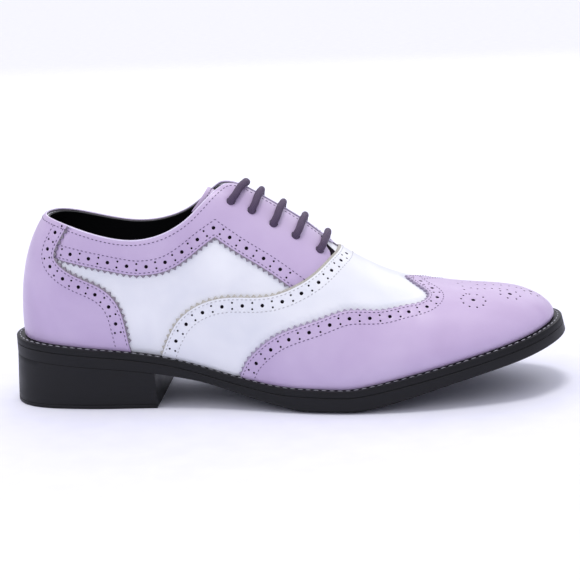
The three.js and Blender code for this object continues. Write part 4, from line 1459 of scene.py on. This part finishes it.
round_count = 20
for number, (sides, rises, crest_place) in enumerate(eyelets, 1):
    knots = []
    for side, (place, rise) in enumerate(zip(sides, rises)):
        # It comes up out of the eyelet from under the facing
        path = [
            leather(np.array(place), np.array(rise - lower), height) for lower,
            height in ((0.035, -2.4), (0.02, -0.4), (0.0, 1.6))
        ]
        goal = 2 - crest_place if side else crest_place
        start, end = rib(place, rise), rib(goal, quarter_turn)
        for share, height in ((0.12, 3.15), (0.3, 3.5), (0.5, 3.6), (0.75, 3.45)):
            level = (start + (end - start) * [share**0.65, share, share])[None]
            first = np.array([place + (goal - place) * share])
            up = np.array([rise + (quarter_turn - rise) * share])
            path.append(leather(*settle(level, first, up, (1, 1, 0)), height)[0])
        knots.append(path)
    crest_spot = leather(np.array(crest_place), np.array(quarter_turn), 3.25)
    path = np.array([*knots[0], crest_spot, *knots[1][::-1]])
    arcs = arc_lengths(path)
    fine = np.linspace(0, arcs[-1], int(arcs[-1] / 0.6))
    smooth_path = np.stack([curve_through(arcs, column)(fine) for column in path.T], -1)
    # It is pressed a little thinner over the crest
    radius = lace_diameter / 2 * (1 - 0.06 * np.exp(-(((fine - arcs[-1] / 2) / 6.0) ** 2)))
    lace = made(f"lace_{number}", *tube(smooth_path, radius, round_count), [mauve_lace], sharp=60)
    uv = lace.data.uv_layers.new(name="UVMap")
    for polygon in lace.data.polygons:
        corners = [lace.data.loops[i].vertex_index for i in polygon.loop_indices]
        here = [corner % round_count for corner in corners]
        wrap = max(here) - min(here) > 1 and len(here) == 4
        for i, corner, column in zip(polygon.loop_indices, corners, here):
            turn = column + (round_count if wrap and column == 0 else 0)
            uv.data[i].uv = (
                turn / round_count * math.pi * lace_diameter, fine[corner // round_count]
            )
    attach(lace, "root")
    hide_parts(f"lace_bar_{number}")


# Insole.
# The thin black sock over the insole board keeps its CAD shape and gets the lining's finish.

insole_node = bpy.data.objects["insole"]
for slot in insole_node.material_slots:
    slot.material = lining_hide


# Sole unit.
# Black rubber-composition sole, welt and stacked heel with dyed, waxed and burnished edges. The
# welt is sewn to the sole with pale thread all round.

sole_edge, sole_tree, sole_shader = finish(
    "burnished black sole edge", Base_Color=linear("#121318"), Roughness=0.5, IOR=1.5,
    Specular_IOR_Level=0.3
)
sole_spot = add_node(sole_tree, "ShaderNodeTexCoord").outputs["Object"]
# Trimming lines run level round the edge, about 0.6 mm apart
level_lines = add_node(
    sole_tree, "ShaderNodeMapping", {"Vector": sole_spot}, values={"Scale": (30.0, 30.0, 1500.0)}
)
trim = bump(sole_tree, noise(sole_tree, level_lines.outputs[0], 1.0), 0.35, 0.0002)
sole_tree.links.new(trim, sole_shader.inputs["Normal"])
scuffs = noise(sole_tree, sole_spot, 60.0, 5.0, 0.6)
toned(sole_tree, sole_shader, scuffs, (0.3, "#09090c"), (0.75, "#101116"))
glossed(sole_tree, sole_shader, scuffs, 0.42, 0.56)

heel_length = 82.7
top_lift = 2.2
plan_places = np.linspace(0, 2, 640, endpoint=False)


def heel_inset(x):
    return 0.8 - 2.2 * (1 - smoothstep(x, 0.0, 0.5 * heel_length))


def lid(corners, loop, heights):
    """Points and triangles that close a loop of corners. The points that it adds stand inside the
    loop, 5 mm apart, at the heights that a function of the place along the shoe gives."""
    edge = corners[loop][:, :2]
    (low_x, low_y), (high_x, high_y) = edge.min(0), edge.max(0)
    grid = np.stack(
        np.meshgrid(np.arange(low_x + 3, high_x, 5.0), np.arange(low_y + 3, high_y, 5.0)), -1
    )
    grid = grid.reshape(-1, 2)
    grid = grid[inside(grid, edge)]
    grid = grid[nearest(tree_of(edge), grid)[1] > 2.0]
    count = len(edge)
    links = [(i, (i + 1) % count) for i in range(count)]
    result = delaunay_2d_cdt([Vector(p) for p in [*edge, *grid]], links, [], 0, 1e-5)
    points = np.array([tuple(v) for v in result[0]])
    triangles = np.array([t for t in result[2] if len(t) == 3])
    triangles = triangles[inside(points[triangles].mean(1), edge)]
    numbers, spare = [], []
    for point, origins in zip(points, result[3]):
        source = next((o for o in origins if o < count), None)
        if source is None:
            plan_x = point[0]
            for _ in range(4):
                plan_x = point[0] + (plan_x - leaned(plan_x, heights(plan_x)))
            numbers.append(len(corners) + len(spare))
            spare.append([*point, float(heights(np.array(plan_x)))])
        else:
            numbers.append(loop[source])
    return np.array(spare).reshape(-1, 3), np.array(numbers)[triangles]


def slab(name, loops, breast=None, hollow=False):
    """A closed solid of the sole unit from level loops, the lowest first. A loop is its inset and
    its height, as functions of the place along the shoe. The breast cuts it off straight."""
    base_x, _ = plan_point(plan_places, 0.0)
    rows = []
    for inset, height in loops:
        x, y = plan_point(plan_places, inset(base_x))
        rows.append(np.stack([x, y, np.broadcast_to(height(x), x.shape)], -1))
    if breast is not None:
        keep = np.flatnonzero(base_x < breast)
        gap = int(np.argmax(np.diff(keep))) + 1
        rows = [row[np.roll(keep, -gap)] for row in rows]
        for row, (_, height) in zip(rows, loops):
            row[:, 0] = np.minimum(row[:, 0], breast)
            row[[0, -1]] = [[breast, row[end, 1], height(np.array(breast))] for end in (0, -1)]
        # The breast: a flat face of strips between the two ends
        shares = np.linspace(0, 1, 25)[1:-1, None]
        rows = [np.concatenate([row, row[-1] + (row[0] - row[-1]) * shares]) for row in rows]
    rows = [np.stack([leaned(r[:, 0], r[:, 2]), r[:, 1], r[:, 2]], -1) for r in rows]
    corners = np.concatenate(rows)
    index = np.arange(len(corners)).reshape(len(rows), -1)
    ahead = np.roll(index, -1, axis=1)
    if hollow:
        index, ahead = np.vstack([index, index[:1]]), np.vstack([ahead, ahead[:1]])
    faces = np.stack([index[:-1], ahead[:-1], ahead[1:], index[1:]], -1).reshape(-1, 4).tolist()
    if not hollow:
        for end, order in ((0, -1), (-1, 1)):
            spare, triangles = lid(corners, index[end], loops[end][1])
            corners = np.concatenate([corners, spare])
            faces += triangles[:, ::order].tolist()
    return made(name, corners, faces, [sole_edge], sharp=35)


def fixed(amount):
    return lambda x: np.broadcast_to(float(amount), np.shape(x))


def bevel(x):
    """How far the outsole's lower edge is cut back. It ends before the heel and at the toe."""
    forepart = 1 - 0.6 * smoothstep(x, 0.75 * sole_length, 0.95 * sole_length)
    return 2.6 * smoothstep(x, heel_length, heel_length * 1.4) * forepart


lift = slab(
    "top_lift_rubber",
    [
        (lambda x: heel_inset(x) + 0.35, fixed(0.0)), (heel_inset, fixed(0.35)),
        (heel_inset, fixed(top_lift - 0.3)), (lambda x: heel_inset(x) + 0.3, fixed(top_lift))
    ],
    heel_length
)
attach(lift, "root")
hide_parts("top_lift")


def heel_loop(share, extra=0.0):
    def height(x):
        top = np.maximum(tread_z(x) - 0.02, top_lift + 1.0)
        return top_lift + (top - top_lift) * share

    return lambda x: heel_inset(x) * (1 - share) + extra, height


heel_loops = [heel_loop(0.0, 0.3), heel_loop(0.025)]
heel_loops += [heel_loop(share) for share in np.linspace(0, 1, 9)[1:-1]]
heel_loops += [heel_loop(0.985), heel_loop(1.0, 0.25)]
heel = slab("stacked_heel", heel_loops, heel_length)
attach(heel, "root")
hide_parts("heel_block")

sole_piece = slab(
    "black_outsole",
    [
        (lambda x: bevel(x) * 1.6 + 0.3, tread_z),
        (lambda x: bevel(x) * 0.45, lambda x: tread_z(x) + 0.1 + bevel(x) * 0.45),
        (lambda x: bevel(x) * 0.1, lambda x: tread_z(x) + 0.15 + bevel(x) * 0.8),
        (fixed(0.0), lambda x: tread_z(x) + 0.2 + bevel(x) * 1.05),
        (fixed(0.0), lambda x: outsole_top(x) - 0.35), (fixed(0.3), outsole_top)
    ]
)
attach(sole_piece, "root")
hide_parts("outsole")

lip, welt_depth = 0.6, 12.8
welt_piece = slab(
    "black_welt",
    [
        (fixed(welt_depth), lambda x: outsole_top(x) + 0.05),
        (fixed(0.35), lambda x: outsole_top(x) + 0.05),
        (fixed(0.0), lambda x: outsole_top(x) + 0.35), (fixed(0.0), lambda x: welt_top(x) - lip),
        (fixed(0.22), lambda x: welt_top(x) - 0.18), (fixed(lip), welt_top),
        (fixed(welt_depth), welt_top)
    ],
    hollow=True
)
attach(welt_piece, "root")
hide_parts("welt")

welt_thread = two_tone("waxed white welt thread", "#96969e", "#b4b4bb", 2200.0, Roughness=0.55)
stitch_arc = np.linspace(0, 2, 1400)
stitch_x, stitch_y = plan_point(stitch_arc, 2.0)
stitch_z = welt_top(stitch_x) + 0.05
welt_row = np.stack([leaned(stitch_x, stitch_z), stitch_y, stitch_z], -1)
slopes = welt_slope(stitch_x)
welt_out = unit(np.stack([-slopes, np.zeros_like(slopes), np.ones_like(slopes)], -1))
welt_seam = sewn("welt_stitches", [(welt_row, welt_out)], welt_thread, welt_stitch)


# Floor, light and camera.
# A pale sweep under soft studio light, seen from a little above the outer side.

cream_floor = two_tone(
    "pale studio floor", "#eaebf9", "#edeefa", 60.0, Roughness=0.9, Specular_IOR_Level=0.1
)
reach = 6000.0
floor_corners = [[-reach, -reach, 0], [reach, -reach, 0], [reach, reach, 0], [-reach, reach, 0]]
floor = made("studio_floor", floor_corners, [[0, 1, 2, 3]], [cream_floor])

world = bpy.data.worlds.new("pale studio")
bpy.context.scene.world = world
world.use_nodes = True
background = world.node_tree.nodes["Background"].inputs
background["Color"].default_value = linear("#eaeafa")
background["Strength"].default_value = 0.56


def lamp(name, kind, energy, colour, direction, **settings):
    """A light that shines in a direction."""
    data = bpy.data.lights.new(name, kind)
    data.energy, data.color = energy, linear(colour)[:3]
    for key, value in settings.items():
        setattr(data, key, value)
    light = linked(name, data)
    light.rotation_euler = Vector(direction).to_track_quat("-Z", "Y").to_euler()
    return light


def soft_box(name, spot, width, depth, power, colour):
    """A large soft box, in metres, that faces the middle of the shoe."""
    sizes = {"shape": "RECTANGLE", "size": width, "size_y": depth}
    shoe_middle = Vector((0.0, 0.0, 0.06))
    lamp(name, "AREA", power, colour, shoe_middle - Vector(spot), **sizes).location = spot


# Light from above: the wider its angle, the softer its shadows
lamp("ceiling", "SUN", 1.15, "#fffdfa", (0.06, 0.1, -1.0), angle=math.radians(120))
lamp("ceiling box", "SUN", 1.0, "#fffdfa", (0.03, 0.02, -1.0), angle=math.radians(16))
soft_box("front left box", (-0.75, -1.0, 0.85), 0.7, 0.5, 0.5, "#fffdfb")
soft_box("back box", (0.1, 1.5, 1.05), 2.2, 1.2, 9.0, "#fbfbff")

camera_data = bpy.data.cameras.new("photo camera")
camera_data.lens = 100.3
camera_data.sensor_width = 36.0
camera_data.clip_start = 0.05
camera = linked("photo camera", camera_data)
target = Vector((0.00265, 0.00205, 0.0565))
distance, elevation, yaw, roll = 0.9, math.radians(13), math.radians(5), math.radians(2.8)
back = Vector((
    math.sin(yaw) * math.cos(elevation), -math.cos(yaw) * math.cos(elevation), math.sin(elevation)
))
right = Vector((0, 0, 1)).cross(back).normalized()
up = back.cross(right)
rolled_right = right * math.cos(roll) - up * math.sin(roll)
rolled_up = up * math.cos(roll) + right * math.sin(roll)
camera.matrix_world = Matrix.Translation(target + back * distance) @ Matrix((
    rolled_right, rolled_up, back
)).transposed().to_4x4()
bpy.context.scene.camera = camera
bpy.context.scene.view_settings.view_transform = "Standard"
